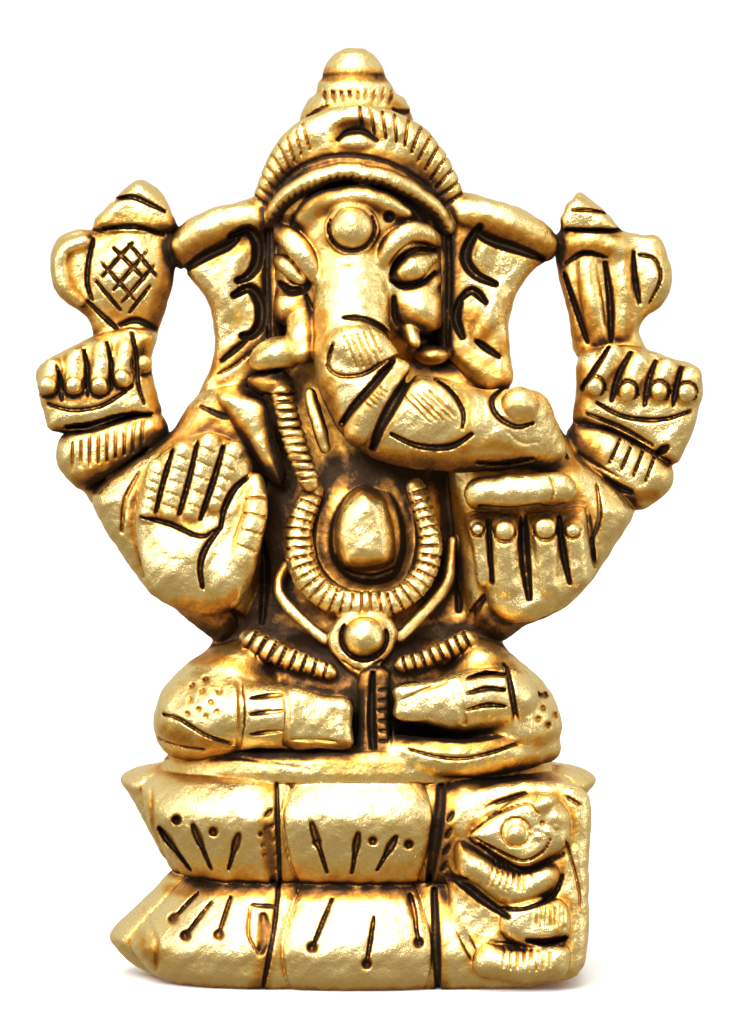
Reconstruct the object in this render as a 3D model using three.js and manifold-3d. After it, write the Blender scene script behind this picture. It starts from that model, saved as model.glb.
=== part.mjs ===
import * as THREE from 'three';
import { mergeVertices } from 'three/addons/utils/BufferGeometryUtils.js';
import Module from 'manifold-3d';

// Seated Ganesha idol on a two-tier lotus base with the mouse, solid cast brass.
// Millimetres, +Z up, the figure faces -Y. "Right" and "left" are the figure's own.
// Each sculpted part is one closed solid, cut back by its neighbours with a small clear gap.

const GAP = 0.34; // clear gap between neighbouring pieces
const TOTAL_HEIGHT = 76; // floor to the tip of the crown bud
const BASE_HALF_WIDTH = 19; // lotus petal tips, along X
const BASE_HALF_DEPTH = 12.4; // lotus petal tips, along Y
const LOWER_TIER_TOP = 7.3;
const UPPER_TIER_TOP = 17;
const SEAT_TOP = 19.4;
const PETALS_PER_TIER = 8;
const HEAD_CENTRE_X = -0.9;
const EAR_FRONT_Y = -3.4;
const EAR_BACK_Y = 0.2;
const TRUNK_DEPTH_RATIO = 0.78; // the trunk is flatter front to back than it is wide
const BALL_DETAIL = 12; // sides of a full-size rounded mass
const SMALL_DETAIL = 8; // sides of a small one
const TINY_DETAIL = 6; // sides of a finger or a tusk

const POLISHED = { color: 0xc9a055, roughness: 0.32, metalness: 1 };
const TONED = { color: 0x9a7438, roughness: 0.42, metalness: 1 };
const DARKENED = { color: 0x5e4524, roughness: 0.5, metalness: 1 };

const wasm = await Module();
wasm.setup();

// A closed geometry as a solid: only positions kept, shared vertices merged, slivers dropped.
function solidOf(geometry) {
  const bare = geometry.clone();
  bare.deleteAttribute('normal');
  bare.deleteAttribute('uv');
  const merged = mergeVertices(bare, 1e-4);
  const index = merged.index.array;
  const triangles = [];
  for (let i = 0; i < index.length; i += 3) {
    const [a, b, c] = [index[i], index[i + 1], index[i + 2]];
    if (a !== b && b !== c && c !== a) triangles.push(a, b, c);
  }
  const mesh = new wasm.Mesh({
    numProp: 3,
    vertProperties: new Float32Array(merged.attributes.position.array),
    triVerts: new Uint32Array(triangles),
  });
  return new wasm.Manifold(mesh);
}

function join(solids) {
  return solids.reduce((whole, next) => whole.add(next));
}

// An ellipsoid: centre, three radii, and a turn in degrees about X, Y and Z.
function egg(grow, centre, radii, turn = [0, 0, 0], detail = BALL_DETAIL) {
  const geometry = new THREE.SphereGeometry(1, detail, Math.round(detail * 0.55));
  geometry.scale(radii[0] + grow, radii[1] + grow, radii[2] + grow);
  const angles = turn.map(THREE.MathUtils.degToRad);
  const rotation = new THREE.Matrix4().makeRotationFromEuler(new THREE.Euler(...angles));
  geometry.applyMatrix4(rotation);
  geometry.translate(...centre);
  return solidOf(geometry);
}

// A tapered bar with round ends, from one point to another: points are [x, y, z, radius].
function roundBar(grow, from, to, detail) {
  const start = new THREE.Vector3(from[0], from[1], from[2]);
  const end = new THREE.Vector3(to[0], to[1], to[2]);
  const startRadius = from[3] + grow;
  const endRadius = to[3] + grow;
  const length = start.distanceTo(end);
  const lean = Math.asin((startRadius - endRadius) / length);
  const arcSteps = 2;
  const profile = [];
  for (let i = 0; i <= arcSteps; i += 1) {
    const angle = -Math.PI / 2 + ((lean + Math.PI / 2) * i) / arcSteps;
    const across = i === 0 ? 0 : startRadius * Math.cos(angle);
    profile.push(new THREE.Vector2(across, startRadius * Math.sin(angle)));
  }
  for (let i = 0; i <= arcSteps; i += 1) {
    const angle = lean + ((Math.PI / 2 - lean) * i) / arcSteps;
    const across = i === arcSteps ? 0 : endRadius * Math.cos(angle);
    profile.push(new THREE.Vector2(across, length + endRadius * Math.sin(angle)));
  }
  const geometry = new THREE.LatheGeometry(profile, detail);
  const direction = end.clone().sub(start).normalize();
  const turn = new THREE.Quaternion().setFromUnitVectors(new THREE.Vector3(0, 1, 0), direction);
  geometry.applyQuaternion(turn);
  geometry.translate(start.x, start.y, start.z);
  return geometry;
}

// A limb: round bars end to end through a list of [x, y, z, radius] points.
// A depth ratio below 1 makes its section flatter front to back.
function limb(grow, points, depthRatio = 1, detail = SMALL_DETAIL) {
  const spread = points.map(([x, y, z, radius]) => [x, y / depthRatio, z, radius]);
  const bars = [];
  for (let i = 0; i + 1 < spread.length; i += 1) {
    const geometry = roundBar(grow / depthRatio, spread[i], spread[i + 1], detail);
    geometry.scale(1, depthRatio, 1);
    bars.push(solidOf(geometry));
  }
  return join(bars);
}

// A round cord of one thickness along a smooth route through [x, y, z] points.
function cord(grow, points, radius, steps = 14) {
  const route = points.map((point) => new THREE.Vector3(...point));
  const last = route.length - 1;
  const startPull = route[0].clone().sub(route[1]).setLength(grow);
  const endPull = route[last].clone().sub(route[last - 1]).setLength(grow);
  route[0].add(startPull);
  route[last].add(endPull);
  const section = new THREE.Shape().absarc(0, 0, radius + grow, 0, 2 * Math.PI);
  const geometry = new THREE.ExtrudeGeometry(section, {
    steps,
    curveSegments: 4,
    bevelEnabled: false,
    extrudePath: new THREE.CatmullRomCurve3(route),
  });
  return solidOf(geometry);
}

// A flat plate with rounded edges: an outline of [x, z] points between two depths.
function plate(grow, outline, frontY, backY, rounding) {
  const curve = new THREE.CatmullRomCurve3(
    outline.map(([x, z]) => new THREE.Vector3(x, z, 0)), true, 'centripetal');
  const shape = new THREE.Shape(curve.getSpacedPoints(outline.length * 2).slice(0, -1));
  const geometry = new THREE.ExtrudeGeometry(shape, {
    depth: backY - frontY - 2 * rounding,
    bevelEnabled: true,
    bevelSegments: 2,
    bevelSize: rounding + grow,
    bevelThickness: rounding + grow,
    bevelOffset: -rounding,
    curveSegments: 4,
  });
  geometry.rotateX(Math.PI / 2);
  geometry.translate(0, backY - rounding, 0);
  return solidOf(geometry);
}

// A turned form about a vertical axis, squeezed front to back: profile of [radius, z] points.
function turned(grow, profile, centre, depthRatio, detail = 18) {
  const low = profile[0][1];
  const high = profile[profile.length - 1][1];
  const points = [new THREE.Vector2(0, low - grow)];
  for (const [radius, z] of profile) {
    const lift = z === low ? -grow : z === high ? grow : 0;
    points.push(new THREE.Vector2(radius + grow, z + lift));
  }
  points.push(new THREE.Vector2(0, high + grow));
  const geometry = new THREE.LatheGeometry(points, detail);
  geometry.rotateX(Math.PI / 2);
  geometry.scale(1, depthRatio, 1);
  geometry.translate(centre[0], centre[1], 0);
  return solidOf(geometry);
}

function boxBetween(low, high) {
  const size = high.map((value, i) => value - low[i]);
  const geometry = new THREE.BoxGeometry(...size);
  geometry.translate(...high.map((value, i) => (value + low[i]) / 2));
  return solidOf(geometry);
}

// ---- lotus base ----

// One ring of petals: rounded bulges spaced evenly round an oval.
function petalRing(grow, centreZ, radii, petalRadii) {
  const petals = [];
  for (let i = 0; i < PETALS_PER_TIER; i += 1) {
    const angle = (i / PETALS_PER_TIER) * 2 * Math.PI;
    const x = (radii[0] - petalRadii[1]) * Math.cos(angle);
    const y = (radii[1] - petalRadii[1]) * Math.sin(angle);
    const facing = THREE.MathUtils.radToDeg(Math.atan2(y / radii[1], x / radii[0])) + 90;
    petals.push(egg(grow, [x, y, centreZ], petalRadii, [0, 0, facing], SMALL_DETAIL));
  }
  return join(petals);
}

const BASE_RATIO = BASE_HALF_DEPTH / BASE_HALF_WIDTH;

function lotusLowerTier(grow) {
  const core = turned(grow, [[17, 0], [18, 1.4], [17.4, 4], [15, 6.6], [14.6, LOWER_TIER_TOP]],
    [-1, 0], BASE_RATIO);
  const petals = petalRing(grow, 2.9, [BASE_HALF_WIDTH, BASE_HALF_DEPTH], [6.4, 2.6, 3.9]);
  const slab = boxBetween([-30, -20, -grow], [30, 20, LOWER_TIER_TOP + grow]);
  return join([core, petals.translate([-1, 0, 0])]).intersect(slab);
}

function lotusUpperTier(grow) {
  const core = turned(grow, [[13.6, LOWER_TIER_TOP + GAP], [15.2, 10.5], [17.4, 14],
    [17.6, 15.6], [16.4, UPPER_TIER_TOP]], [-0.9, 0], BASE_RATIO);
  const petals = petalRing(grow, 12.8, [BASE_HALF_WIDTH, BASE_HALF_DEPTH], [6.4, 2.4, 4.1]);
  return join([core, petals.translate([-0.9, 0, 0])]);
}

function seatDrape(grow) {
  const low = UPPER_TIER_TOP + GAP;
  return turned(grow, [[16.3, low], [17, (low + SEAT_TOP) / 2], [15.6, SEAT_TOP]], [-0.9, -1.6], 0.58);
}

// The mouse stands at the left end of the base and looks up at the sweets.
function mouse(grow) {
  const headUp = limb(grow, [[13.2, -9.4, 12.8, 3.2], [8.4, -11.2, 13.2, 1.4]]);
  const ear = egg(grow, [14.8, -10.4, 14.6], [1.8, 1.5, 1.6], [0, 0, 0], SMALL_DETAIL);
  const chest = egg(grow, [13, -9, 8.8], [4.2, 3.8, 4.2], [0, 20, 0]);
  const haunch = egg(grow, [13, -9.2, 4.2], [4.4, 3.9, 3.6], [0, -10, 0]);
  const foot = limb(grow, [[13.4, -10.8, 2, 1.7], [9.2, -11.6, 2, 1.2]]);
  const aboveFloor = boxBetween([0, -20, 0.6], [30, 5, 30]);
  return join([headUp, ear, chest, haunch, foot]).intersect(aboveFloor);
}

// ---- crossed legs and cloth ----

function rightLeg(grow) {
  const knee = egg(grow, [-11.6, -3.6, 22.6], [6, 6.2, 4.3], [0, -14, 0]);
  const shin = limb(grow, [[-13.4, -7.4, 21.8, 3], [-10.6, -8.8, 21.4, 2.6]]);
  return join([knee, shin]);
}

function leftLeg(grow) {
  const knee = egg(grow, [10.6, -3.6, 22.4], [5.6, 6.2, 4.6], [0, 18, 0]);
  const shin = limb(grow, [[12.4, -7.4, 21.4, 3.1], [11, -8.6, 22.2, 2.6]]);
  return join([knee, shin]);
}

const rightAnklet = (grow) => limb(grow, [[-9.6, -9, 21.5, 2.6], [-7.4, -9.4, 21.4, 2.5]]);
const leftAnklet = (grow) => limb(grow, [[10.4, -8.9, 23, 2.6], [7.8, -9.4, 23.2, 2.5]]);
const rightFoot = (grow) => limb(grow, [[-5.6, -9.6, 21.3, 2.3], [-2.3, -10, 21.2, 1.7]]);
const leftFoot = (grow) => limb(grow, [[6.3, -9.6, 22.6, 2.4], [3.2, -10.2, 21.6, 1.6]]);
const dhotiFold = (grow) => limb(grow, [[0.5, -9.4, 23.6, 1.3], [0.6, -9.8, 18.6, 1.5]]);
const lapCloth = (grow) => cord(grow, [[2.8, -8.8, 18.6], [8, -8.8, 18.2], [12.6, -7.6, 19]], 1.3, 6);

function waistBelt(grow, side) {
  const inner = [-0.3 + side * 3.5, -9.2, 25.8];
  const middle = [-0.3 + side * 6, -8.6, 26.8];
  const outer = [-0.3 + side * 9, -6.6, 28.3];
  return cord(grow, [inner, middle, outer], 0.9, 6);
}

// ---- body and its ornaments ----

function torso(grow) {
  const chest = egg(grow, [-0.8, 0.6, 36.5], [10.2, 6.8, 13]);
  const shoulders = limb(grow, [[-7.8, 0.6, 45, 3.7], [6.4, 0.6, 44.6, 3.7]]);
  const hips = egg(grow, [-0.8, -0.4, 23.8], [12, 7.6, 6]);
  return join([chest, shoulders, hips]);
}

function belly(grow) {
  const round = egg(grow, [-0.5, -4.2, 34.4], [7.4, 4.6, 8]);
  const navelSwell = egg(grow, [-0.1, -8.4, 36.4], [2.4, 1.3, 3.2], [0, 0, 0], SMALL_DETAIL);
  return join([round, navelSwell]);
}

function garland(grow) {
  const route = [[-4, -8, 41.4], [-6, -7.9, 38.4], [-6, -8.2, 35.2], [-4.2, -8.8, 32.2],
    [-0.2, -9.3, 30.9], [4, -8.8, 32.6], [5.5, -8.2, 35.6], [5, -7.9, 39.2]];
  return cord(grow, route, 0.95, 18);
}

function pendant(grow) {
  const disc = egg(grow, [-0.4, -9.2, 28.2], [2.6, 1.3, 2.2], [0, 0, 0], 12);
  const tip = limb(grow, [[-0.4, -9.4, 27, 1.2], [-0.5, -9.5, 25.6, 0.5]], 1, TINY_DETAIL);
  return join([disc, tip]);
}

const shoulderKnob = (grow) => egg(grow, [-7.9, -5.6, 48.4], [1.8, 1.7, 1.4], [0, 0, 0], SMALL_DETAIL);
const sacredCord = (grow) => cord(grow, [[-6.4, -6.6, 46.8], [-5.2, -7.4, 43.6], [-4.4, -7.8, 41.6]], 0.9, 5);

function sashEnd(grow) {
  const outline = [[-12, 47.2], [-8.4, 46.8], [-7.5, 44.6], [-6.7, 41.2], [-7.4, 40.6], [-9.4, 43.4]];
  return plate(grow, outline, -6.6, -3.4, 0.7);
}

// ---- front arms ----

function frontRightArm(grow) {
  return limb(grow, [[-10.6, -2.4, 44.4, 3], [-18, -2.8, 37.4, 3.6], [-13, -4.2, 30.6, 2.9]]);
}

function frontLeftArm(grow) {
  return limb(grow, [[9.6, -2.4, 43.6, 2.9], [17.4, -3, 37, 3.7], [11.8, -4.4, 30.4, 2.8]]);
}

// The right palm is raised open to bless, four fingers together and the thumb along its edge.
function openPalm(grow) {
  const palm = egg(grow, [-13.4, -7.4, 35.8], [4.6, 1.9, 5.6], [0, -8, 0]);
  const fingers = [];
  for (let i = 0; i < 4; i += 1) {
    const baseX = -16.6 + i * 2.1;
    const tipX = -16.4 + i * 2.15;
    const tipZ = 43.3 - 0.25 * Math.abs(i - 1);
    fingers.push(limb(grow, [[baseX, -7.8, 37.4, 1.25], [tipX, -7.4, tipZ, 1.15]], 1, TINY_DETAIL));
  }
  return join([palm, ...fingers]);
}

const openPalmThumb = (grow) => limb(grow, [[-8.9, -7.6, 40, 0.9], [-9, -8, 36.4, 1],
  [-10.2, -7.6, 32.6, 0.9]], 1, TINY_DETAIL);

// The left hand holds a sweet roll across its fingertips.
function sweetHand(grow) {
  const palm = egg(grow, [12.8, -7.2, 33.6], [4.4, 1.9, 3.9], [0, 12, 0]);
  const fingers = [];
  for (let i = 0; i < 4; i += 1) {
    const tip = [8.9 + i * 2.4, -8.8, 37.4, 1.1];
    const root = [9.6 + i * 2.3, -7.8, 33.4 + 0.2 * i, 1.2];
    fingers.push(limb(grow, [root, tip], 1, TINY_DETAIL));
  }
  return join([palm, ...fingers]);
}

const sweetRoll = (grow) => limb(grow, [[9.2, -8.6, 40.2, 1.4], [15.6, -8.6, 40.4, 1.4]], 1, SMALL_DETAIL);

// ---- rear arms, raised at the sides ----

const rearRightArm = (grow) => limb(grow, [[-8.6, 2.6, 43.4, 3], [-14.4, 2.4, 40, 2.9],
  [-19.6, 0.6, 40.4, 2.9]]);
const rearLeftArm = (grow) => limb(grow, [[7.6, 2.6, 43.4, 3], [13.6, 2.4, 40.4, 2.9],
  [19.4, 0.6, 40, 2.9]]);

const rearRightBracelet = (grow) => egg(grow, [-20.9, -0.8, 42.2], [4.3, 3.3, 2.3], [0, 20, 0]);
const rearLeftBracelet = (grow) => egg(grow, [20.7, -0.8, 41.4], [4.3, 3.3, 2.4], [0, -14, 0]);

function raisedHand(grow, centre, side) {
  const fist = egg(grow, centre, [4.7, 2.9, 4.7], [0, side * 12, 0]);
  const fingers = [];
  for (let i = 0; i < 4; i += 1) {
    const x = centre[0] + side * (3.6 - i * 2.2);
    const knuckleZ = centre[2] + 2.2 + 0.4 * i;
    const tipZ = centre[2] - 0.6 + 0.3 * i;
    fingers.push(limb(grow, [[x, centre[1] - 1.4, knuckleZ, 1.3],
      [x + side * 0.2, centre[1] - 2.1, tipZ, 1.15]], 1, TINY_DETAIL));
  }
  return join([fist, ...fingers]);
}

const rearRightHand = (grow) => raisedHand(grow, [-21.8, -1.4, 47.5], -1);
const rearLeftHand = (grow) => raisedHand(grow, [21.8, -1.4, 46.9], 1);

// The axe and the noose: stylised swells held upright above the fingers.
function rearRightAttribute(grow) {
  const body = egg(grow, [-19.9, -1.2, 56.2], [4, 2.9, 5.2]);
  const cap = limb(grow, [[-19.2, -1.2, 60, 2.9], [-18.2, -1.2, 63.2, 1.2]]);
  const lobe = egg(grow, [-23.2, -1.2, 56.6], [2.2, 2, 3.8], [0, 10, 0], 10);
  return join([body, cap, lobe]);
}

function rearLeftAttribute(grow) {
  const body = egg(grow, [18.8, -1.2, 55.4], [3.7, 2.9, 5.4]);
  const cap = limb(grow, [[18.1, -1.2, 59.4, 2.8], [17.3, -1.2, 62.4, 1.1]]);
  const lobe = egg(grow, [22.1, -1.2, 56.2], [2.4, 2.1, 4.3], [0, 6, 0], 10);
  return join([body, cap, lobe]);
}

// ---- head and crown ----

const head = (grow) => egg(grow, [HEAD_CENTRE_X, -1.8, 56.6], [7.3, 5.8, 8.4]);
const tilakBead = (grow) => egg(grow, [-1.3, -7.4, 61.1], [2.1, 1.4, 2.1], [0, 0, 0], 12);

function trunk(grow) {
  const root = [[-1.6, -5.6, 58.4, 3.1], [-1.4, -7, 50.4, 3.4], [1, -7.6, 46.2, 3.8],
    [5, -7.8, 45.2, 3.9], [12.4, -7.4, 44.8, 2.9], [14.8, -7, 42.8, 1.4]];
  return limb(grow, root, TRUNK_DEPTH_RATIO, SMALL_DETAIL);
}

const trunkSweet = (grow) => egg(grow, [12.1, -9.2, 47], [1.8, 1.6, 1.7], [0, 0, 0], SMALL_DETAIL);

function tusk(grow, side, length) {
  const x = -0.9 + side * 4.5;
  return limb(grow, [[x, -5.4, 53.8, 1], [x + side * 0.3, -6.8, 53.8 - length, 0.8]], 1, TINY_DETAIL);
}

function rightEar(grow) {
  const outline = [[-7.6, 62.6], [-12.2, 62.7], [-15, 61], [-16, 58.6], [-14.2, 56], [-12.7, 52.4],
    [-12.9, 49], [-13.6, 46.6], [-11.2, 46.2], [-8.6, 49.6], [-7, 54]];
  return plate(grow, outline, EAR_FRONT_Y, EAR_BACK_Y, 1);
}

function leftEar(grow) {
  const outline = [[5.6, 62.4], [5.2, 54], [6.8, 50.4], [9.6, 47.6], [11.8, 47.4], [11.4, 52.2],
    [12.6, 56], [15, 58.7], [13.2, 61.2], [9.8, 62.8]];
  return plate(grow, outline, EAR_FRONT_Y, EAR_BACK_Y, 1);
}

function browBand(grow) {
  const route = [[-8, -5.4, 61.2], [-6.2, -6.2, 63.8], [-3.8, -6.6, 65.1], [-1, -6.8, 65.6],
    [2, -6.6, 65.1], [4.4, -6.2, 63.8], [6.2, -5.4, 61.4]];
  return cord(grow, route, 0.75, 14);
}

function crownMain(grow) {
  return turned(grow, [[7.2, 60.6], [8.2, 62.6], [7.4, 65.6], [5.6, 68.2], [4.2, 69.2]],
    [-0.9, -0.6], 0.86, 20);
}

function crownRing(grow) {
  return turned(grow, [[4.2, 69.2 + GAP], [4.7, 70.2], [3.3, 71.8]], [-1, -0.6], 0.86, 18);
}

function crownFinial(grow) {
  const budBase = 71.8 + GAP;
  return turned(grow, [[2.7, budBase], [2.5, 73.4], [1.6, 75], [0.5, TOTAL_HEIGHT]],
    [-0.8, -0.6], 0.9, 14);
}

// Pieces in order of precedence: each one is cut back by those above it.
const PIECES = [
  ['trunk_sweet', TONED, trunkSweet],
  ['trunk', POLISHED, trunk],
  ['tusk_right', TONED, (grow) => tusk(grow, -1, 2.6)],
  ['tusk_left', TONED, (grow) => tusk(grow, 1, 1.6)],
  ['tilak_bead', TONED, tilakBead],
  ['head', POLISHED, head],
  ['brow_band', TONED, browBand],
  ['crown_finial', POLISHED, crownFinial],
  ['crown_ring', POLISHED, crownRing],
  ['crown_main', POLISHED, crownMain],
  ['ear_right', POLISHED, rightEar],
  ['ear_left', POLISHED, leftEar],
  ['sweet_roll', POLISHED, sweetRoll],
  ['front_left_hand', POLISHED, sweetHand],
  ['open_palm_thumb', POLISHED, openPalmThumb],
  ['front_right_palm', POLISHED, openPalm],
  ['shoulder_knob', TONED, shoulderKnob],
  ['sash_end', TONED, sashEnd],
  ['sacred_cord', TONED, sacredCord],
  ['garland', POLISHED, garland],
  ['pendant', TONED, pendant],
  ['belly', TONED, belly],
  ['waist_belt_right', TONED, (grow) => waistBelt(grow, -1)],
  ['waist_belt_left', TONED, (grow) => waistBelt(grow, 1)],
  ['anklet_right', POLISHED, rightAnklet],
  ['anklet_left', POLISHED, leftAnklet],
  ['foot_right', POLISHED, rightFoot],
  ['foot_left', POLISHED, leftFoot],
  ['dhoti_fold', DARKENED, dhotiFold],
  ['lap_cloth', TONED, lapCloth],
  ['leg_right', POLISHED, rightLeg],
  ['leg_left', POLISHED, leftLeg],
  ['rear_right_bracelet', TONED, rearRightBracelet],
  ['rear_left_bracelet', TONED, rearLeftBracelet],
  ['rear_right_hand', POLISHED, rearRightHand],
  ['rear_left_hand', POLISHED, rearLeftHand],
  ['rear_right_attribute', TONED, rearRightAttribute],
  ['rear_left_attribute', TONED, rearLeftAttribute],
  ['front_right_arm', POLISHED, frontRightArm],
  ['front_left_arm', POLISHED, frontLeftArm],
  ['rear_right_arm', DARKENED, rearRightArm],
  ['rear_left_arm', DARKENED, rearLeftArm],
  ['torso', DARKENED, torso],
  ['mouse', POLISHED, mouse],
  ['seat_drape', TONED, seatDrape],
  ['lotus_upper_tier', POLISHED, lotusUpperTier],
  ['lotus_lower_tier', POLISHED, lotusLowerTier],
];

// The largest closed body of a cut piece: crumbs left beyond a neighbour are dropped.
function largestBody(solid) {
  const bodies = solid.decompose();
  return bodies.reduce((best, next) => (next.volume() > best.volume() ? next : best));
}

function meshOf(name, look, solid) {
  const raw = solid.getMesh();
  const geometry = new THREE.BufferGeometry();
  geometry.setAttribute('position', new THREE.BufferAttribute(raw.vertProperties, 3));
  geometry.setIndex(new THREE.BufferAttribute(raw.triVerts, 1));
  geometry.computeVertexNormals();
  const mesh = new THREE.Mesh(geometry, new THREE.MeshStandardMaterial(look));
  mesh.name = name;
  return mesh;
}

const idol = new THREE.Group();
const cutters = [];
for (const [name, look, make] of PIECES) {
  const uncut = make(0);
  const near = cutters.filter((cutter) => boxesMeet(cutter.boundingBox(), uncut.boundingBox()));
  const cut = near.reduce((rest, cutter) => rest.subtract(cutter), uncut);
  idol.add(meshOf(name, look, largestBody(cut)));
  cutters.push(make(GAP));
}

function boxesMeet(first, second) {
  return [0, 1, 2].every((i) => first.min[i] < second.max[i] && second.min[i] < first.max[i]);
}

// Origin at the centre of the flat underside.
const bounds = new THREE.Box3().setFromObject(idol);
const centre = bounds.getCenter(new THREE.Vector3());
idol.position.set(-centre.x, -centre.y, -bounds.min.z);

export default idol;
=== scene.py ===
import math

import bpy
import numpy as np
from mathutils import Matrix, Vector


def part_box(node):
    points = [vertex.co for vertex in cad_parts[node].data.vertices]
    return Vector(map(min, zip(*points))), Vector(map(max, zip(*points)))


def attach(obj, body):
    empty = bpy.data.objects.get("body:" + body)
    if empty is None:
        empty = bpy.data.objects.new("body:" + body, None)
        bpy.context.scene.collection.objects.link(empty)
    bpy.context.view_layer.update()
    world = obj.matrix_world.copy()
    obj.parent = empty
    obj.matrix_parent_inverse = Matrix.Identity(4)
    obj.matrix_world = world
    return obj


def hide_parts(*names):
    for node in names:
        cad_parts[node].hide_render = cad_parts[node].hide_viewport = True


# Antique brass Ganesha, sculpted as one distance field and meshed piece by piece.
# Sculpt units are millimetres: u runs across from the middle of the base, y runs back
# from the base's centre, and v climbs the sight plane, which leans back by SIGHT_ANGLE.

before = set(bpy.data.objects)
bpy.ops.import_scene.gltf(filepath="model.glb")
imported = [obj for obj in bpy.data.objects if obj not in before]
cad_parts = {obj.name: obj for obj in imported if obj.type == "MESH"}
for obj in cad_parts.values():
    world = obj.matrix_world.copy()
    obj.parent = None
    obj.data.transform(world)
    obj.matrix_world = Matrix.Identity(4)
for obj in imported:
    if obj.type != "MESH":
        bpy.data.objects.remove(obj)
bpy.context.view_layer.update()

MM = 0.001
SIGHT_ANGLE = math.radians(5)
SIGHT_SIN = math.sin(SIGHT_ANGLE)
SIGHT_COS = math.cos(SIGHT_ANGLE)
BASE_FRONT = -12.4

# The grid's spacing, the air kept round each piece, and the distance given to places past it.
VOXEL = 0.14
PAD = 1.2
FAR = 5.0
# How far a piece reaches under its neighbours, and how wide the fillet is where two of them meet.
SEAM = 0.3
CREASE = 0.35
# Lines are engraved in front of this depth, and fade out to either side of it.
FRONT_PLANE = -0.8
FRONT_FADE = 1.0
# A distance larger than any in the idol, and two small numbers that keep divisions from zero.
BEYOND_ALL = 1e6
TINY = 1e-6
NO_LENGTH = 1e-9

tier_low, tier_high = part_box("lotus_upper_tier")
ORIGIN = np.array([(tier_low.x + tier_high.x) / 2, (tier_low.y + tier_high.y) / 2, 0.0]) / MM

GRID_LOW = np.array([-28.4, -15.2, -0.8])
GRID_HIGH = np.array([30.2, 14.6, 78.4])
AXES = [np.arange(GRID_LOW[i], GRID_HIGH[i], VOXEL, dtype=np.float32) for i in range(3)]


# ---- the sight plane ----

def sight_height(y, z):
    """How far up the sight plane a place at depth y and true height z is seen."""
    return z * SIGHT_COS + (y - BASE_FRONT) * SIGHT_SIN


def true_height(y, v):
    """The true height of a place at depth y that is seen at v."""
    return (v - (y - BASE_FRONT) * SIGHT_SIN) / SIGHT_COS


# ---- small maths ----

def soft_min(a, b, blend):
    """The smaller of two fields, with the corner where they meet filled in."""
    if blend <= 0:
        return np.minimum(a, b)
    overlap = np.maximum(blend - np.abs(a - b), 0) / blend
    return np.minimum(a, b) - overlap * overlap * blend * 0.25


def smooth_step(edge_low, edge_high, value):
    """0 before the first edge and 1 past the second, eased in between."""
    t = np.clip((value - edge_low) / (edge_high - edge_low), 0, 1)
    return t * t * (3 - 2 * t)


def facing_front(y):
    """1 on the front of the idol and 0 on its back."""
    return smooth_step(FRONT_PLANE + FRONT_FADE, FRONT_PLANE - FRONT_FADE, y)


def smooth_path(points, steps=5, closed=False):
    """A Catmull-Rom curve through the points, any number of dimensions."""
    p = np.array(points, float)
    if closed:
        p = np.vstack([p[-1:], p, p[:2]])
    else:
        p = np.vstack([2 * p[0] - p[1], p, 2 * p[-1] - p[-2]])
    made = []
    for a, b, c, d in zip(p[:-3], p[1:-2], p[2:-1], p[3:]):
        for t in np.arange(steps) / steps:
            made.append(0.5 * (2 * b + (c - a) * t + (2 * a - 5 * b + 4 * c - d) * t ** 2
                               + (3 * b - a - 3 * c + d) * t ** 3))
    if not closed:
        made.append(p[-2])
    return np.array(made)


def arc(centre, radius, start, end, count):
    """Points along part of a circle, between two angles in radians."""
    return [(centre[0] + radius * math.cos(a), centre[1] + radius * math.sin(a))
            for a in np.linspace(start, end, count)]


def front_view(route, lift=0.0):
    """The (u, v) of each (u, y, v, radius) point of a route."""
    return [(u, v + lift) for u, _, v, _ in route]


def line_distance(u, v, path):
    """Distance from each (u, v) to a polyline, and how far along it the nearest place is, 0 to 1."""
    best = np.full(np.broadcast(u, v).shape, BEYOND_ALL, np.float32)
    along = np.zeros_like(best)
    lengths = np.linalg.norm(np.diff(path, axis=0), axis=1)
    total = max(lengths.sum(), TINY)
    walked = 0.0
    for (au, av), (bu, bv), length in zip(path[:-1], path[1:], lengths):
        du, dv = bu - au, bv - av
        t = np.clip(((u - au) * du + (v - av) * dv) / max(length ** 2, NO_LENGTH), 0, 1)
        d = np.hypot(u - au - t * du, v - av - t * dv)
        nearer = d < best
        best = np.where(nearer, d, best)
        along = np.where(nearer, (walked + t * length) / total, along)
        walked += length
    return best, along


def outline_distance(u, v, outline):
    """Signed distance to a closed outline, negative inside."""
    best = np.full(np.broadcast(u, v).shape, BEYOND_ALL, np.float32)
    inside = np.zeros(best.shape, bool)
    for (au, av), (bu, bv) in zip(outline, np.roll(outline, -1, axis=0)):
        du, dv = bu - au, bv - av
        t = np.clip(((u - au) * du + (v - av) * dv) / max(du * du + dv * dv, NO_LENGTH), 0, 1)
        best = np.minimum(best, np.hypot(u - au - t * du, v - av - t * dv))
        crosses = (av > v) != (bv > v)
        slope = du / (dv if abs(dv) > NO_LENGTH else NO_LENGTH)
        inside ^= crosses & (u < au + (v - av) * slope)
    return np.where(inside, -best, best)


# ---- the grid ----

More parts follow.
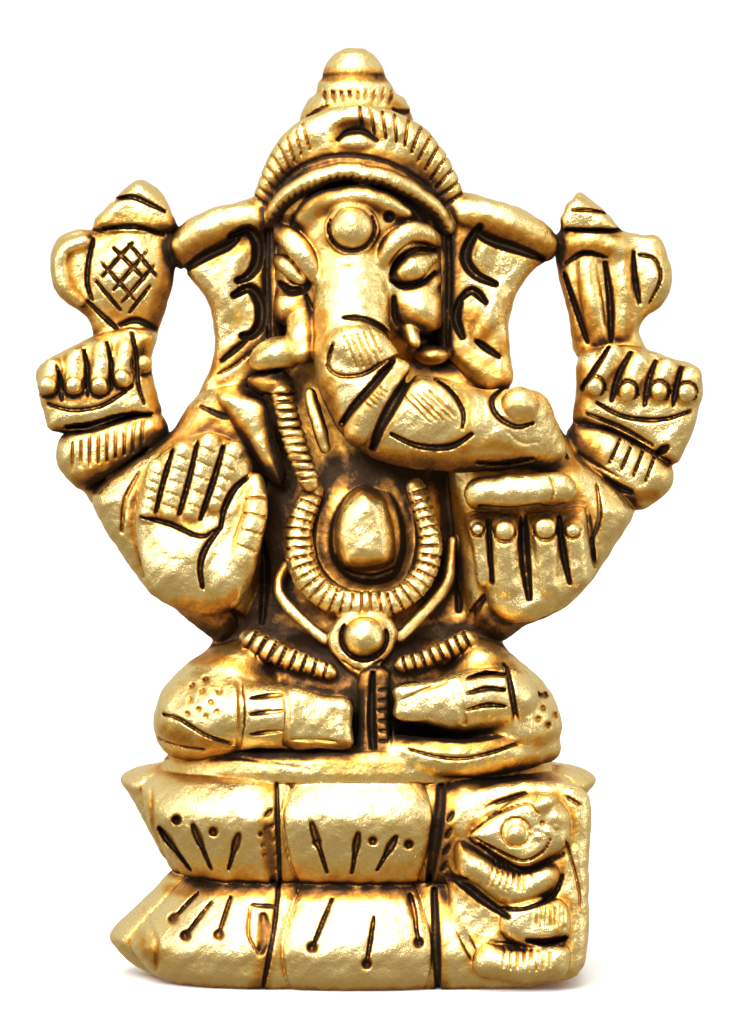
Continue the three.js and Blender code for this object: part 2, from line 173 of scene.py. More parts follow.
class Block:
    """A box of the grid, from low to high in sculpt space."""

    def __init__(self, low, high):
        z_low = true_height(high[1], low[2])
        z_high = true_height(low[1], high[2])
        starts = np.array([low[0], low[1], z_low])
        ends = np.array([high[0], high[1], z_high])
        self.start = [int(max(0, (starts[i] - GRID_LOW[i]) // VOXEL)) for i in range(3)]
        self.end = [int(min(len(AXES[i]), (ends[i] - GRID_LOW[i]) // VOXEL + 2)) for i in range(3)]
        self.window = tuple(slice(a, b) for a, b in zip(self.start, self.end))
        self.shape = tuple(b - a for a, b in zip(self.start, self.end))
        self.u = AXES[0][self.window[0]][:, None, None]
        self.y = AXES[1][self.window[1]][None, :, None]
        self.z = AXES[2][self.window[2]][None, None, :]
        self.v = sight_height(self.y, self.z)

    def inside(self, outer):
        return tuple(slice(a - o, b - o) for a, b, o in zip(self.start, self.end, outer.start))

    def drawn(self, drawing):
        """A flat drawing over (u, v), pushed straight through the block."""
        step = VOXEL / 3
        v_low = float(self.v.min())
        v_axis = np.arange(v_low, float(self.v.max()) + 2 * step, step, dtype=np.float32)
        sheet = drawing(self.u[:, :, 0], v_axis[None, :])
        index = np.rint((self.v[0] - v_low) / step).astype(np.int32)
        return sheet[:, index]


# ---- a sculpted piece ----

RIB_SHARPNESS = 1.6
LINE_END_WIDTH = 0.55
GROOVE_POWER = 1.2


class Piece:
    """One sculpted part: lumps joined softly, hollows cut in, and lines drawn on the front."""

    def __init__(self, *nodes):
        self.nodes = nodes
        self.steps = []
        self.marks = []
        self.shade_and_patina_washes = []
        self.low = np.full(3, BEYOND_ALL)
        self.high = np.full(3, -BEYOND_ALL)

    def shape(self, field, low, high, blend=0.5, cut=False):
        """Adds one field, or cuts it away, within its box."""
        low, high = np.array(low, float), np.array(high, float)
        self.steps.append((field, low, high, blend, cut))
        if not cut:
            self.low = np.minimum(self.low, low)
            self.high = np.maximum(self.high, high)

    def egg(self, centre, radii, tilt=0, blend=0.5, cut=False):
        """An ellipsoid, tilted in the sight plane by degrees."""
        c, s = math.cos(math.radians(tilt)), math.sin(math.radians(tilt))

        def field(block):
            du, dy, dv = block.u - centre[0], block.y - centre[1], block.v - centre[2]
            a, b, g = (du * c + dv * s) / radii[0], dy / radii[1], (dv * c - du * s) / radii[2]
            near = np.sqrt(a * a + b * b + g * g) + TINY
            slope = np.sqrt((a / radii[0]) ** 2 + (b / radii[1]) ** 2 + (g / radii[2]) ** 2) + TINY
            return near * (near - 1) / slope

        reach_u = math.hypot(radii[0] * c, radii[2] * s)
        reach_v = math.hypot(radii[2] * c, radii[0] * s)
        reach = np.array([reach_u, radii[1], reach_v])
        self.shape(field, np.array(centre) - reach, np.array(centre) + reach, blend, cut)

    def rope(self, points, flat=1.0, ribs=0, rib_depth=0.12, steps=4, blend=0.5, cut=False):
        """A limb or cord through (u, y, v, radius) points, ribbed if ribs is given."""
        path = smooth_path(points, steps)
        lengths = np.linalg.norm(np.diff(path[:, :3], axis=0), axis=1)
        total = lengths.sum()

        def field(block):
            best = np.full(block.shape, FAR, np.float32)
            walked = 0.0
            for a, b, length in zip(path[:-1], path[1:], lengths):
                d = b - a
                pu, py, pv = block.u - a[0], block.y - a[1], block.v - a[2]
                t = np.clip((pu * d[0] + py * d[1] + pv * d[2]) / max(length ** 2, NO_LENGTH), 0, 1)
                radius = a[3] + t * d[3]
                if ribs:
                    turn = (walked + t * length) / total * ribs * 2 * math.pi
                    radius = radius * (1 - rib_depth * (1 - np.abs(np.sin(turn / 2))) * RIB_SHARPNESS)
                away = np.sqrt((pu - t * d[0]) ** 2 + ((py - t * d[1]) / flat) ** 2 + (pv - t * d[2]) ** 2)
                best = np.minimum(best, away - radius)
                walked += length
            return best

        reach = path[:, 3].max()
        self.shape(field, path[:, :3].min(0) - reach, path[:, :3].max(0) + reach, blend, cut)

    def slab(self, points, front, back, rounding=1.0, blend=0.5, cut=False, steps=3):
        """A pillow-edged plate: an outline of (u, v) points between two depths."""
        outline = smooth_path(points, steps, closed=True)
        middle, half = (front + back) / 2, (back - front) / 2

        def field(block):
            flat = block.drawn(lambda u, v: outline_distance(u, v, outline)) + rounding
            deep = np.abs(block.y - middle) - half + rounding
            outside = np.hypot(np.maximum(flat, 0), np.maximum(deep, 0))
            return outside + np.minimum(np.maximum(flat, deep), 0) - rounding

        low = [outline[:, 0].min(), front, outline[:, 1].min()]
        high = [outline[:, 0].max(), back, outline[:, 1].max()]
        self.shape(field, low, high, blend, cut)

    def turned(self, profile, centre, ratio, blend=0.5):
        """A turned form about an upright line, squeezed front to back: (radius, v) points."""
        outline = np.array([(0, profile[0][1])] + list(profile) + [(0, profile[-1][1])], float)
        mirrored = np.vstack([outline, (outline * [-1, 1])[::-1]])

        def field(block):
            around = np.hypot(block.u - centre[0], (block.y - centre[1]) / ratio)
            return outline_distance(around, block.v, mirrored)

        reach = outline[:, 0].max()
        low = [centre[0] - reach, centre[1] - reach * ratio, outline[:, 1].min()]
        high = [centre[0] + reach, centre[1] + reach * ratio, outline[:, 1].max()]
        self.shape(field, low, high, blend)

    def line(self, points, width=0.55, depth=0.4, curved=True):
        """An engraved line, a raised one if depth is negative, thinner at its ends."""
        path = smooth_path(points, 3) if curved and len(points) > 2 else np.array(points, float)
        self.marks.append((path, width, depth, True))

    def dot(self, place, radius=0.5, depth=0.4):
        """A round punch mark."""
        self.marks.append((np.array([place, place], float), radius * 2, depth, False))

    def hatch(self, start, end, count, run, width=0.4, depth=0.32):
        """Short parallel lines set along a way from start to end, each reaching across by run."""
        start, end, half = np.array(start), np.array(end), np.array(run) / 2
        for t in (np.arange(count) + 0.5) / count:
            middle = start + (end - start) * t
            self.line([middle - half, middle + half], width, depth)

    def ticks(self, route, count, length, width=0.24, depth=0.3, lean=0.0):
        """Short lines square across a way, evenly spaced along it, leaned by a share of their length."""
        path = smooth_path(route, 6)
        steps = np.linalg.norm(np.diff(path, axis=0), axis=1)
        along = np.concatenate([[0], np.cumsum(steps)]) / steps.sum()
        nudge = 0.02

        def place(t):
            return np.array([np.interp(t, along, path[:, i]) for i in (0, 1)])

        for t in (np.arange(count) + 0.5) / count:
            here = place(t)
            ahead = place(t + nudge) - place(t - nudge)
            way = ahead / np.linalg.norm(ahead)
            reach = (np.array([-way[1], way[0]]) + lean * way) * length / 2
            self.line([here - reach, here + reach], width, depth)

    # Washes paint shade under and beside forms where it falls, and patina along grooves.
    def shade_and_patina_wash(self, points, width, strength):
        """A soft band of painted shade and patina along a way on the front, drawn lighter instead if strength
        is negative.
        """
        path = smooth_path(points, 3) if len(points) > 2 else np.array(points, float)
        self.shade_and_patina_washes.append((path, width / 2, strength))

    def washed_shade_and_patina(self, u, v):
        """How far the washes' painted shade and patina darken each (u, v): below zero is drawn lighter."""
        wash_darker = np.zeros(len(u), np.float32)
        wash_lighter = np.zeros(len(u), np.float32)
        for path, reach, strength in self.shade_and_patina_washes:
            away = line_distance(u, v, path)[0]
            patch = strength * (1 - np.clip(away / reach, 0, 1) ** 2)
            wash_darker = np.maximum(wash_darker, patch)
            wash_lighter = np.minimum(wash_lighter, patch)
        return wash_darker + wash_lighter

    def drawing(self, u, v, spread=1.0):
        """How deep the engraving is at (u, v): above zero is cut in, below is raised."""
        cut = np.zeros(np.broadcast(u, v).shape, np.float32)
        raised = np.zeros_like(cut)
        for path, width, depth, tapered in self.marks:
            near = (u > path[:, 0].min() - width) & (u < path[:, 0].max() + width)
            near = near & (v > path[:, 1].min() - width) & (v < path[:, 1].max() + width)
            if not near.any():
                continue
            uu, vv = np.broadcast_to(u, cut.shape)[near], np.broadcast_to(v, cut.shape)[near]
            away, along = line_distance(uu, vv, path)
            fullness = LINE_END_WIDTH + (1 - LINE_END_WIDTH) * np.sin(np.pi * np.clip(along, 0, 1))
            half = width / 2 * spread * (fullness if tapered else 1.0)
            bite = abs(depth) * (1 - np.clip(away / half, 0, 1) ** 2) ** GROOVE_POWER
            if depth > 0:
                cut[near] = np.maximum(cut[near], bite)
            else:
                raised[near] = np.maximum(raised[near], bite)
        return cut - raised

    def build(self):
        """Works out the piece's own distance field over its block of the grid."""
        self.block = Block(self.low - PAD, self.high + PAD)
        solid = np.full(self.block.shape, FAR, np.float32)
        for field, low, high, blend, cut in self.steps:
            part = Block(np.maximum(low, self.low) - PAD, np.minimum(high, self.high) + PAD)
            window = part.inside(self.block)
            if cut:
                solid[window] = -soft_min(-solid[window], field(part), blend)
            else:
                solid[window] = soft_min(solid[window], field(part), blend)
        if self.marks:
            solid += self.block.drawn(self.drawing) * facing_front(self.block.y)
        self.field = solid


PIECES = []


def sculpted(draw):
    """Adds the piece that a function draws, named after the function."""
    piece = Piece(draw.__name__)
    draw(piece)
    PIECES.append(piece)
    return draw


# ---- base ----

PETAL_RATIO = 12.4 / 19.2
PETAL_SEAMS = np.radians([-161, -109.5, -70.5, -19, 19, 70.5, 109.5, 161, 199])
FRONT_BULGE = 1.9
SIDE_BULGE = 1.0
SQUARENESS = 2.6
PILLOW_POWER = 0.4
SIDEWAYS_POWER = 8
PETAL_MARGIN = 0.6
RIM_MARGIN = 0.4


def petal_tier(piece, profile):
    """A tier of the lotus: a squarish oval with eight pillowed petals.

    The profile's points are (radius at the sides, radius at front and back, z).
    """
    sides, fronts, heights = smooth_path(profile, 4).T

    def field(block):
        x, y = block.u, block.y / PETAL_RATIO
        around = (np.abs(x) ** SQUARENESS + np.abs(y) ** SQUARENESS) ** (1 / SQUARENESS) + TINY
        steep = np.hypot(x, y / PETAL_RATIO) / np.hypot(x, y).clip(TINY)
        angle = np.arctan2(y, x)
        angle = np.where(angle < PETAL_SEAMS[0], angle + 2 * math.pi, angle)
        place = np.searchsorted(PETAL_SEAMS, angle).clip(1, len(PETAL_SEAMS) - 1)
        share = (angle - PETAL_SEAMS[place - 1]) / (PETAL_SEAMS[place] - PETAL_SEAMS[place - 1])
        pillow = np.sin(math.pi * np.clip(share, 0, 1)).clip(0) ** PILLOW_POWER
        sideways = (np.abs(x) / np.hypot(x, y).clip(TINY)) ** SIDEWAYS_POWER
        bulge = FRONT_BULGE + (SIDE_BULGE - FRONT_BULGE) * sideways
        front = np.interp(block.z, heights, fronts)
        side = np.interp(block.z, heights, sides)
        wall = (around - front - (side - front) * sideways - bulge * (pillow - 1)) / steep
        flat = np.maximum(heights[0] - block.z, block.z - heights[-1])
        return -soft_min(-wall, -flat, 0.5)

    reach = sides.max() + PETAL_MARGIN
    top = heights[-1] + 2 * -BASE_FRONT * SIGHT_SIN + RIM_MARGIN
    piece.shape(field, [-reach, -reach * PETAL_RATIO, heights[0]], [reach, reach * PETAL_RATIO, top], 0)


@sculpted
def lotus_lower_tier(p):
    petal_tier(p, [(16.6, 17.0, 0), (18.4, 18.3, 0.9), (19.6, 18.9, 2.0), (20.4, 19.3, 3.2),
                   (19.3, 18.9, 4.6), (17.6, 17.5, 6.2), (16.2, 16.0, 7.6), (15.4, 14.8, 8.6)])
    p.slab([(18.7, -2), (18.5, 2), (18.6, 10), (22, 10), (22, -2)], -14, 14, 0.2, 0.8, cut=True, steps=1)
    p.line([(-6.4, 9.2), (-6.7, 6), (-7.2, 3), (-7.8, 0)], 0.45, 0.5)
    p.line([(-7.7, 6.2), (-7.5, 4.6), (-7.9, 3.4)], 1.4, 0.45)
    p.line([(-8.7, 7.1), (-8.9, 4.8), (-8.1, 3.2)], 0.35, 0.35)
    p.line([(-6.7, 7), (-8.6, 7.1)], 0.4, 0.4)
    p.line([(6.2, 8.4), (6.3, 4), (6.5, 0)], 0.8, 0.65)
    strokes = [((-13.0, 8.0), (-15.0, 5.9)), ((-11.9, 7.3), (-14.0, 4.6)), ((-10.3, 7.8), (-11.3, 4.7)),
               ((-2.1, 7.6), (-3.7, 3.7)), ((1.3, 6.2), (0.7, 2.4)), ((4.3, 7.9), (4.9, 4.1))]
    for top, bulb in strokes:
        p.line([top, bulb], 0.42, 0.5)
        p.dot(bulb, 0.52, 0.6)
    p.line([(4.2, 7.9), (4.7, 5.8)], 0.7, 0.5)
    p.line([(8.0, 5.8), (9.2, 3.4), (10.7, 1.5)], 1.0, 0.8)
    p.line([(-17.6, 6.6), (-16.4, 4.2), (-16.4, 1.6)], 0.6, 0.12)
    p.shade_and_patina_wash([(-7.0, 8.6), (-7.2, 4.4), (-8.0, 0.4)], 2.2, 0.4)
    p.shade_and_patina_wash([(6.3, 8.4), (6.5, 4), (6.7, 0)], 2.0, 0.4)
    p.shade_and_patina_wash([(-15.6, 8.2), (0, 7.9), (7, 8.0)], 1.3, 0.4)
    p.shade_and_patina_wash([(7.6, 6.6), (9.4, 4.6)], 2.4, 0.35)
    p.shade_and_patina_wash([(-17.8, 4.4), (-16.4, 2.4)], 1.6, 0.2)


@sculpted
def lotus_upper_tier(p):
    petal_tier(p, [(15.2, 15.6, 8.6), (16.2, 17.2, 10.2), (17.1, 18.4, 12.0), (18.1, 19.2, 13.8),
                   (18.9, 18.9, 15.2), (19.5, 18.0, 16.1), (18.6, 16.8, 16.9), (17.0, 15.6, 17.3)])
    p.line([(-6.6, 18.4), (-6.5, 14), (-6.3, 8.6)], 0.45, 0.5)
    p.line([(-7.4, 13.4), (-7.2, 11), (-6.9, 9)], 1.2, 0.35)
    p.line([(6.9, 18.4), (6.5, 14), (5.7, 8.6)], 1.0, 0.7)
    p.line([(7.3, 16.8), (7.4, 17.6)], 1.0, 0.5)
    wedges = [((-16.0, 13.2), (-13.6, 9.9)), ((-13.3, 13.5), (-11.9, 10.0)), ((-9.7, 12.8), (-10.5, 10.0)),
              ((-3.7, 13.7), (-2.5, 9.8)), ((0.0, 12.9), (-0.5, 9.7)), ((3.0, 12.6), (1.5, 9.9))]
    for wide, thin in wedges:
        middle = ((wide[0] + thin[0]) / 2, (wide[1] + thin[1]) / 2)
        p.line([wide, thin], 0.42, 0.5)
        p.line([(wide[0] * 1.1 - middle[0] * 0.1, wide[1] + 0.1), middle], 0.85, 0.5)
    for place in [(-14.7, 14.0), (-11.7, 13.1), (-3.3, 12.3), (1.2, 12.4), (4.1, 12.1)]:
        p.dot(place, 0.46, 0.6)
    for place in [(-7.9, 12.9), (-7.7, 12.0), (-7.6, 11.2)]:
        p.dot(place, 0.26, 0.45)
    p.line([(-16.8, 16.4), (-16.6, 13.4), (-15.6, 10.4)], 0.5, 0.14)
    p.hatch((-7.3, 15.2), (-6.6, 9.4), 5, (0.5, 0.5), 0.5, 0.3)
    p.hatch((7.6, 15.0), (7.0, 9.6), 4, (0.4, 0.7), 0.5, 0.3)
    p.shade_and_patina_wash([(-7.2, 17.4), (-7.0, 13), (-6.7, 8.8)], 2.6, 0.4)
    p.shade_and_patina_wash([(7.1, 18), (6.8, 13), (6.2, 8.8)], 3.0, 0.55)
    p.shade_and_patina_wash([(-15.0, 9.6), (0, 9.2), (6, 9.2)], 3.4, 0.16)


@sculpted
def mouse(p):
    p.slab([(9.0, 12.8), (10.8, 14.4), (13.2, 16.0), (15.4, 16.2), (17.0, 14.6), (17.0, 12.2), (15.0, 10.8),
            (13.2, 10.2), (11.2, 11.2)], -12.8, -8, 1.3, 0.4)
    p.egg((12.8, -12.7, 13.1), (0.8, 0.6, 0.8), 0, 0.1)
    p.egg((16.0, -12.0, 14.2), (0.9, 1.0, 0.8), 20, 0.4)
    p.egg((15.0, -12.3, 15.4), (1.1, 0.9, 0.6), 30, 0.4)
    p.slab([(8.0, 12.4), (9.6, 11.6), (12.6, 10.0), (15.4, 10.6), (16.4, 9.6), (15.4, 8.0), (12.4, 7.0),
            (9.8, 8.6), (8.0, 10.0)], -12.4, -8, 1.4, 0.35)
    p.slab([(12.2, 7.2), (16.4, 7.6), (17.2, 5.4), (16.4, 4.0), (13.4, 3.8), (11.6, 5.0)], -12.6, -8, 1.3,
           0.35)
    p.slab([(10.2, 4.0), (12.6, 3.6), (16.8, 4.0), (17.0, 1.8), (15.0, 0.9), (10.6, 1.2), (9.2, 2.2)],
           -12.6, -8, 1.4, 0.35)
    p.slab([(8.0, 1.0), (7.4, 7), (7.4, 14), (9.4, 16.6), (15, 17.2), (18.7, 16.0), (18.7, 10),
            (18.6, 3.4), (16.6, 0.9)], -11.0, -4, 1.2, 0.3)
    p.line([(8.8, 14.1), (11.2, 15.4), (13.6, 16.2)], 0.4, 0.35)
    p.line([(9.0, 12.9), (11.2, 14.5), (13.6, 15.4), (14.6, 14.6)], 0.3, 0.26)
    p.line([(9.6, 12.6), (11.4, 11.6), (13.4, 10.8), (15.0, 11.6), (15.6, 12.6)], 0.35, 0.35)
    p.line(arc((12.8, 13.1), 1.15, 0, 2 * math.pi, 11), 0.26, 0.22)
    p.dot((14.9, 13.8), 0.3, 0.3)
    for place in [(14.6, 12.7), (15.4, 13.2), (16.0, 13.6)]:
        p.egg((place[0], -12.7, place[1]), (0.34, 0.3, 0.34), 0, 0.05)
    p.line([(9.8, 12.2), (12.0, 10.6), (13.8, 9.9), (16.7, 11.4)], 0.36, 0.26)
    p.line([(7.0, 9.9), (8.6, 8.8), (10.4, 7.4), (12.2, 6.2)], 0.8, 0.7)
    p.line([(6.9, 10.4), (7.6, 9.4), (8.8, 9.2)], 0.7, 0.6)
    p.line([(11.6, 6.9), (13.6, 6.9), (15.8, 7.9), (16.6, 9.6)], 0.4, 0.4)
    p.ticks([(10.6, 9.8), (12.2, 9.3), (14.2, 9.2)], 8, 2.0, 0.22, 0.2)
    p.line([(13.7, 4.3), (15.2, 4.2), (16.8, 4.5)], 0.7, 0.7)
    p.ticks([(13.9, 6.3), (16.9, 6.2)], 8, 1.7, 0.22, 0.2)
    p.ticks([(11.6, 2.9), (15.8, 2.6)], 8, 1.7, 0.22, 0.2)
    p.line([(10.0, 4.4), (11.2, 4.0), (13.0, 3.9)], 0.4, 0.4)
    p.line([(16.8, 12.4), (17.4, 10.4), (17.9, 8.3), (18.0, 6.4)], 0.3, 0.3)
    p.line([(16.9, 15.9), (18.0, 15.2)], 0.4, 0.3)
    p.shade_and_patina_wash([(7.6, 15.4), (8.2, 12.2), (7.6, 9.4), (9.6, 7.6)], 1.8, 0.45)
    p.shade_and_patina_wash([(16.6, 10.6), (15.4, 7.4), (16.6, 4.2)], 1.4, 0.3)


# ---- legs ----

@sculpted
def seat_drape(p):
    p.turned([(15.6, 17.0), (16.0, 17.8), (15.9, 18.8), (15.2, 19.5), (13.0, 20.0)], (0, -1.8), 0.58, 0)
    p.shade_and_patina_wash([(-14.6, 19.4), (-4, 19.6), (14.6, 19.6)], 1.8, 0.35)
    p.shade_and_patina_wash([(-2, 18.6), (3, 18.4)], 2.4, 0.35)
    p.line([(-14.4, 18.9), (-11, 19.2), (-7, 18.6), (-4, 18.2)], 0.26, 0.18)
    p.line([(5, 18.2), (9, 18.6), (13, 18.8)], 0.26, 0.16)


@sculpted
def leg_right(p):
    p.egg((-11.0, -3.6, 23.2), (6.1, 6.4, 4.5), 32, 0.8)
    p.rope([(-13.2, -7.0, 22.3, 3.2), (-11.6, -8.4, 22.2, 3.0), (-10.2, -9, 22.4, 2.7)], blend=1.0)
    p.egg((-10, -4, 26.4), (3.2, 4.5, 2.0), 20, 0.8)
    for place in [(-13.6, 23.8), (-12.9, 23.0), (-11.9, 23.6), (-12.6, 24.5), (-12.3, 25.4), (-12.3, 22.4),
                  (-11.2, 24.4), (-13.4, 24.9), (-11.4, 22.8), (-13.8, 22.6)]:
        p.dot(place, 0.3, 0.25)
    p.line([(-15.8, 22.6), (-14.4, 22.2), (-12.4, 21.0), (-10.1, 20.2)], 0.4, 0.4)
    p.line([(-16.2, 20.6), (-14.4, 20.0), (-12.4, 19.8)], 0.3, 0.25)
    p.shade_and_patina_wash([(-15.8, 21.4), (-13.2, 20.4), (-9.8, 19.9)], 1.6, 0.4)
    p.shade_and_patina_wash([(-13.6, 27.0), (-10.6, 26.9), (-7.6, 25.8)], 1.4, 0.4)


@sculpted
def anklet_right(p):
    p.rope([(-9.4, -9.2, 22.5, 2.7), (-6.1, -9.8, 22.4, 2.6)], blend=0.3)
    p.line([(-9.6, 25.2), (-9.4, 22.6), (-9.7, 20.0)], 0.75, 0.7)
    p.line([(-5.9, 25.2), (-5.7, 22.6), (-5.9, 20.2)], 0.6, 0.6)
    for v in (24.1, 22.8, 21.2):
        p.line([(-8.7, v - 0.2), (-7.4, v), (-6.1, v + 0.1)], 0.42, 0.45)


@sculpted
def foot_right(p):
    p.rope([(-6.4, -9.7, 22.4, 2.4), (-4.4, -9.7, 22.2, 2.1)], blend=0.4)
    p.slab([(-5.8, 20.2), (-3.0, 19.9), (-0.6, 19.9), (-0.5, 21.8), (-0.6, 23.7), (-3.0, 24.1),
            (-5.8, 24.6)], -11.9, -7, 0.9, 0.8)
    p.line([(-1.6, 20.4), (-3.2, 20.6), (-5.4, 20.6)], 0.4, 0.2)
    p.shade_and_patina_wash([(-5.6, 20.0), (-0.6, 20.0)], 1.4, 0.5)


@sculpted
def leg_left(p):
    p.egg((10.8, -3.6, 23.0), (6.1, 6.4, 4.5), -30, 0.8)
    p.rope([(12.8, -7.2, 21.7, 3.2), (14.2, -6.6, 21.6, 2.4)], blend=1.0)
    p.egg((10.2, -4, 26.6), (3.0, 4.5, 2.0), -24, 0.8)
    for place in [(14.2, 23.7), (15.4, 21.7), (16.0, 22.5), (15.0, 23.1), (14.6, 22.2), (13.8, 22.8),
                  (15.2, 24.1)]:
        p.dot(place, 0.32, 0.28)
    p.line([(11.8, 26.6), (13.4, 24.9), (15.2, 23.9)], 0.5, 0.3)
    p.shade_and_patina_wash([(11.4, 27.0), (13.4, 25.2), (14.4, 24.0)], 1.6, 0.4)
    p.shade_and_patina_wash([(13.0, 20.2), (15.6, 20.8)], 1.4, 0.3)


@sculpted
def lap_cloth(p):
    p.rope([(3.4, -9.2, 19.4, 1.5), (7.6, -9.8, 19.3, 1.8), (12.0, -8.8, 19.6, 1.8),
            (15.2, -6.4, 19.9, 1.3)], blend=0.6)
    p.line([(4.1, 19.8), (6.4, 19.2), (8.9, 19.1), (12, 19.9), (14.6, 21.1)], 0.36, 0.35)
    p.line([(3.5, 21.4), (6.6, 21.1), (9.6, 21.0), (12.3, 21.4)], 1.3, 0.9)
    p.shade_and_patina_wash([(3.4, 20.6), (8.0, 20.2), (13.4, 20.6)], 1.6, 0.35)


@sculpted
def anklet_left(p):
    p.rope([(8.4, -9.7, 23.6, 2.5), (12.0, -8.8, 23.9, 2.6)], blend=0.3)
    p.line([(7.6, 25.8), (8.1, 24), (8.6, 22.0)], 0.7, 0.7)
    p.line([(12.0, 26.6), (12.5, 24), (12.9, 21.4)], 0.55, 0.55)
    for v in (25.7, 24.5, 23.2):
        p.line([(8.8, v - 0.2), (10.4, v + 0.2), (11.9, v + 0.1)], 0.5, 0.5)


@sculpted
def foot_left(p):
    p.rope([(8.0, -9.8, 23.6, 2.2), (6.4, -9.9, 23.5, 1.7)], blend=0.4)
    p.slab([(3.0, 22.3), (5.6, 22.0), (8.4, 21.8), (8.3, 25.5), (6.2, 25.2), (3.1, 24.9), (3.0, 23.6)],
           -11.8, -7, 0.8, 0.8)
    p.line([(3.6, 23.8), (5.4, 24.6), (7.2, 25.2)], 0.4, 0.2)


@sculpted
def dhoti_fold(p):
    p.slab([(0.2, 26), (2.6, 26), (2.8, 22), (3.1, 17.7), (0, 17.7), (0.1, 22)], -10.2, -5, 0.7)
    p.line([(1.2, 26), (1.1, 22), (1.4, 17.9)], 0.7, 0.7)
    p.line([(2.7, 26), (2.6, 21), (2.9, 18)], 0.5, 0.5)
    p.ticks([(2.1, 25), (2.1, 20)], 6, 0.9, 0.3, 0.25)
    p.shade_and_patina_wash([(1.4, 26), (1.4, 22), (1.6, 18)], 3.6, 0.5)


# ---- body ----

@sculpted
def torso(p):
    p.egg((0, 0.6, 36.5), (10.0, 6.6, 13), 0, 1)
    p.rope([(-8.4, 0.6, 46, 3.8), (0, 0.6, 46.6, 4.2), (8.4, 0.6, 45.6, 3.8)], blend=1.5)
    p.egg((0, -0.4, 24.6), (11.6, 8.4, 6), 0, 1.5)
    p.egg((0, 0.8, 50.5), (7.6, 4.6, 6.0), 0, 1.5)
    p.egg((8.2, 0.4, 49.2), (4.2, 3.4, 3.0), 0, 1.5)
    p.slab([(-11.6, 25), (-11.4, 29), (-9.6, 33), (9.6, 33), (11.3, 29), (11.6, 25)], -4.4, 4, 1.6, 1.0)
    strand_right = [(-5.9, -5.2, 34.6, 0.5), (-6.5, -5.7, 32.8, 0.55), (-5.4, -6.5, 31.0, 0.55),
                    (-2.6, -7.8, 28.6, 0.5)]
    strand_left = [(7.7, -4.6, 36.6, 0.5), (7.3, -5.3, 33.4, 0.55), (5.6, -6.4, 31.2, 0.6),
                   (3.4, -7.8, 28.8, 0.5)]
    for strand in (strand_right, strand_left):
        p.rope(strand)
        p.shade_and_patina_wash(front_view(strand), 1.1, -0.7)
    p.line([(-9.2, 40), (-7.6, 35), (-7.8, 30)], 0.9, 0.6)
    p.line([(8.6, 41), (8.4, 36), (8.2, 31)], 0.9, 0.6)
    p.shade_and_patina_wash([(-6.4, 45), (-7.0, 39), (-7.4, 32), (-9.6, 29.4)], 4.4, 0.58)
    p.shade_and_patina_wash([(-1.6, 42.4), (2, 42.4), (6.6, 41.8)], 3.4, 0.55)
    p.shade_and_patina_wash([(7.6, 42), (7.6, 36), (6.4, 31.4)], 3.2, 0.5)
    p.shade_and_patina_wash([(-6.8, 29.6), (-3.4, 27.2), (0, 24.6)], 2.4, 0.48)
    p.shade_and_patina_wash([(3.6, 27.6), (7.0, 29.4), (10.6, 28.6)], 2.4, 0.45)


@sculpted
def belly(p):
    p.egg((0.6, -2.6, 35.6), (6.6, 4.2, 7.4), 0, 0.6)
    p.slab([(-1.5, 34.9), (-1.8, 37.2), (-1.2, 39.8), (0.4, 41.1), (2.0, 40.2), (2.8, 37.6), (2.9, 35.2),
            (1.6, 34.4), (-0.4, 34.3)], -8.6, -4, 1.9, 0.25)
    p.line([(-1.4, 40.8), (-2.6, 38.4), (-2.7, 35.4), (-1.2, 33.4), (1.0, 32.8), (3.2, 33.4), (4.2, 35.8),
            (4.0, 38.6), (3.0, 41.0)], 1.7, 0.9)
    p.line([(-1.8, 34.7), (-0.4, 34.0), (1.4, 33.8), (3.2, 34.5)], 0.4, 0.4)
    p.line([(-1.2, 33.9), (0.8, 33.3), (2.6, 33.9)], 0.3, 0.3)
    p.shade_and_patina_wash([(-1.9, 41.4), (-3.1, 38.4), (-3.1, 35.4), (-1.4, 33.1), (1.0, 32.6), (3.4, 33.3), (4.5, 35.8),
            (4.3, 38.8), (3.0, 41.4)], 3.0, 0.95)
    p.shade_and_patina_wash([(-0.6, 40.8), (1.6, 40.6)], 1.8, 0.4)


@sculpted
def garland(p):
    route = [(-3.6, -6.2, 40.8, 0.95), (-4.7, -6.8, 38.0, 1.15), (-4.7, -7.3, 35.4, 1.25),
             (-3.8, -7.8, 33.4, 1.25), (-2.1, -8.3, 32.0, 1.2), (0.5, -8.6, 31.5, 1.15),
             (3.2, -8.3, 31.9, 1.05), (5.1, -7.8, 33.6, 1.05), (5.9, -7.3, 36.2, 1.0),
             (5.4, -6.8, 38.8, 0.95), (4.7, -6.2, 41.0, 0.85)]
    p.rope(route, ribs=34, rib_depth=0.07, steps=4)
    p.ticks(front_view(route), 34, 2.2, 0.2, 0.3)


@sculpted
def pendant(p):
    p.slab([(-2.4, 29.2), (-1.2, 30.8), (0.4, 31.3), (2.2, 30.8), (3.2, 29.2), (2.6, 27.4), (1.4, 26.2),
            (0.2, 25.6), (-1.0, 26.3), (-2.2, 27.6)], -9.6, -6.8, 0.8)
    p.egg((0.5, -9.5, 28.9), (1.65, 1.3, 1.65), 0, 0.1)
    p.line(arc((0.5, 28.9), 1.85, 2.6, 6.6, 11), 0.42, 0.6)
    p.line([(-1.3, 27.0), (0.3, 26.1), (1.9, 27.0)], 0.3, 0.2)


def beaded_belt(p, route):
    p.rope(route, ribs=8, rib_depth=0.2, steps=5)
    p.ticks(front_view(route), 8, 1.8, 0.26, 0.36)


@sculpted
def waist_belt_right(p):
    beaded_belt(p, [(-9.0, -6.6, 28.8, 1.0), (-6.6, -7.9, 27.5, 1.0), (-4.4, -8.6, 26.6, 0.95),
                    (-2.2, -9.0, 26.0, 0.8)])


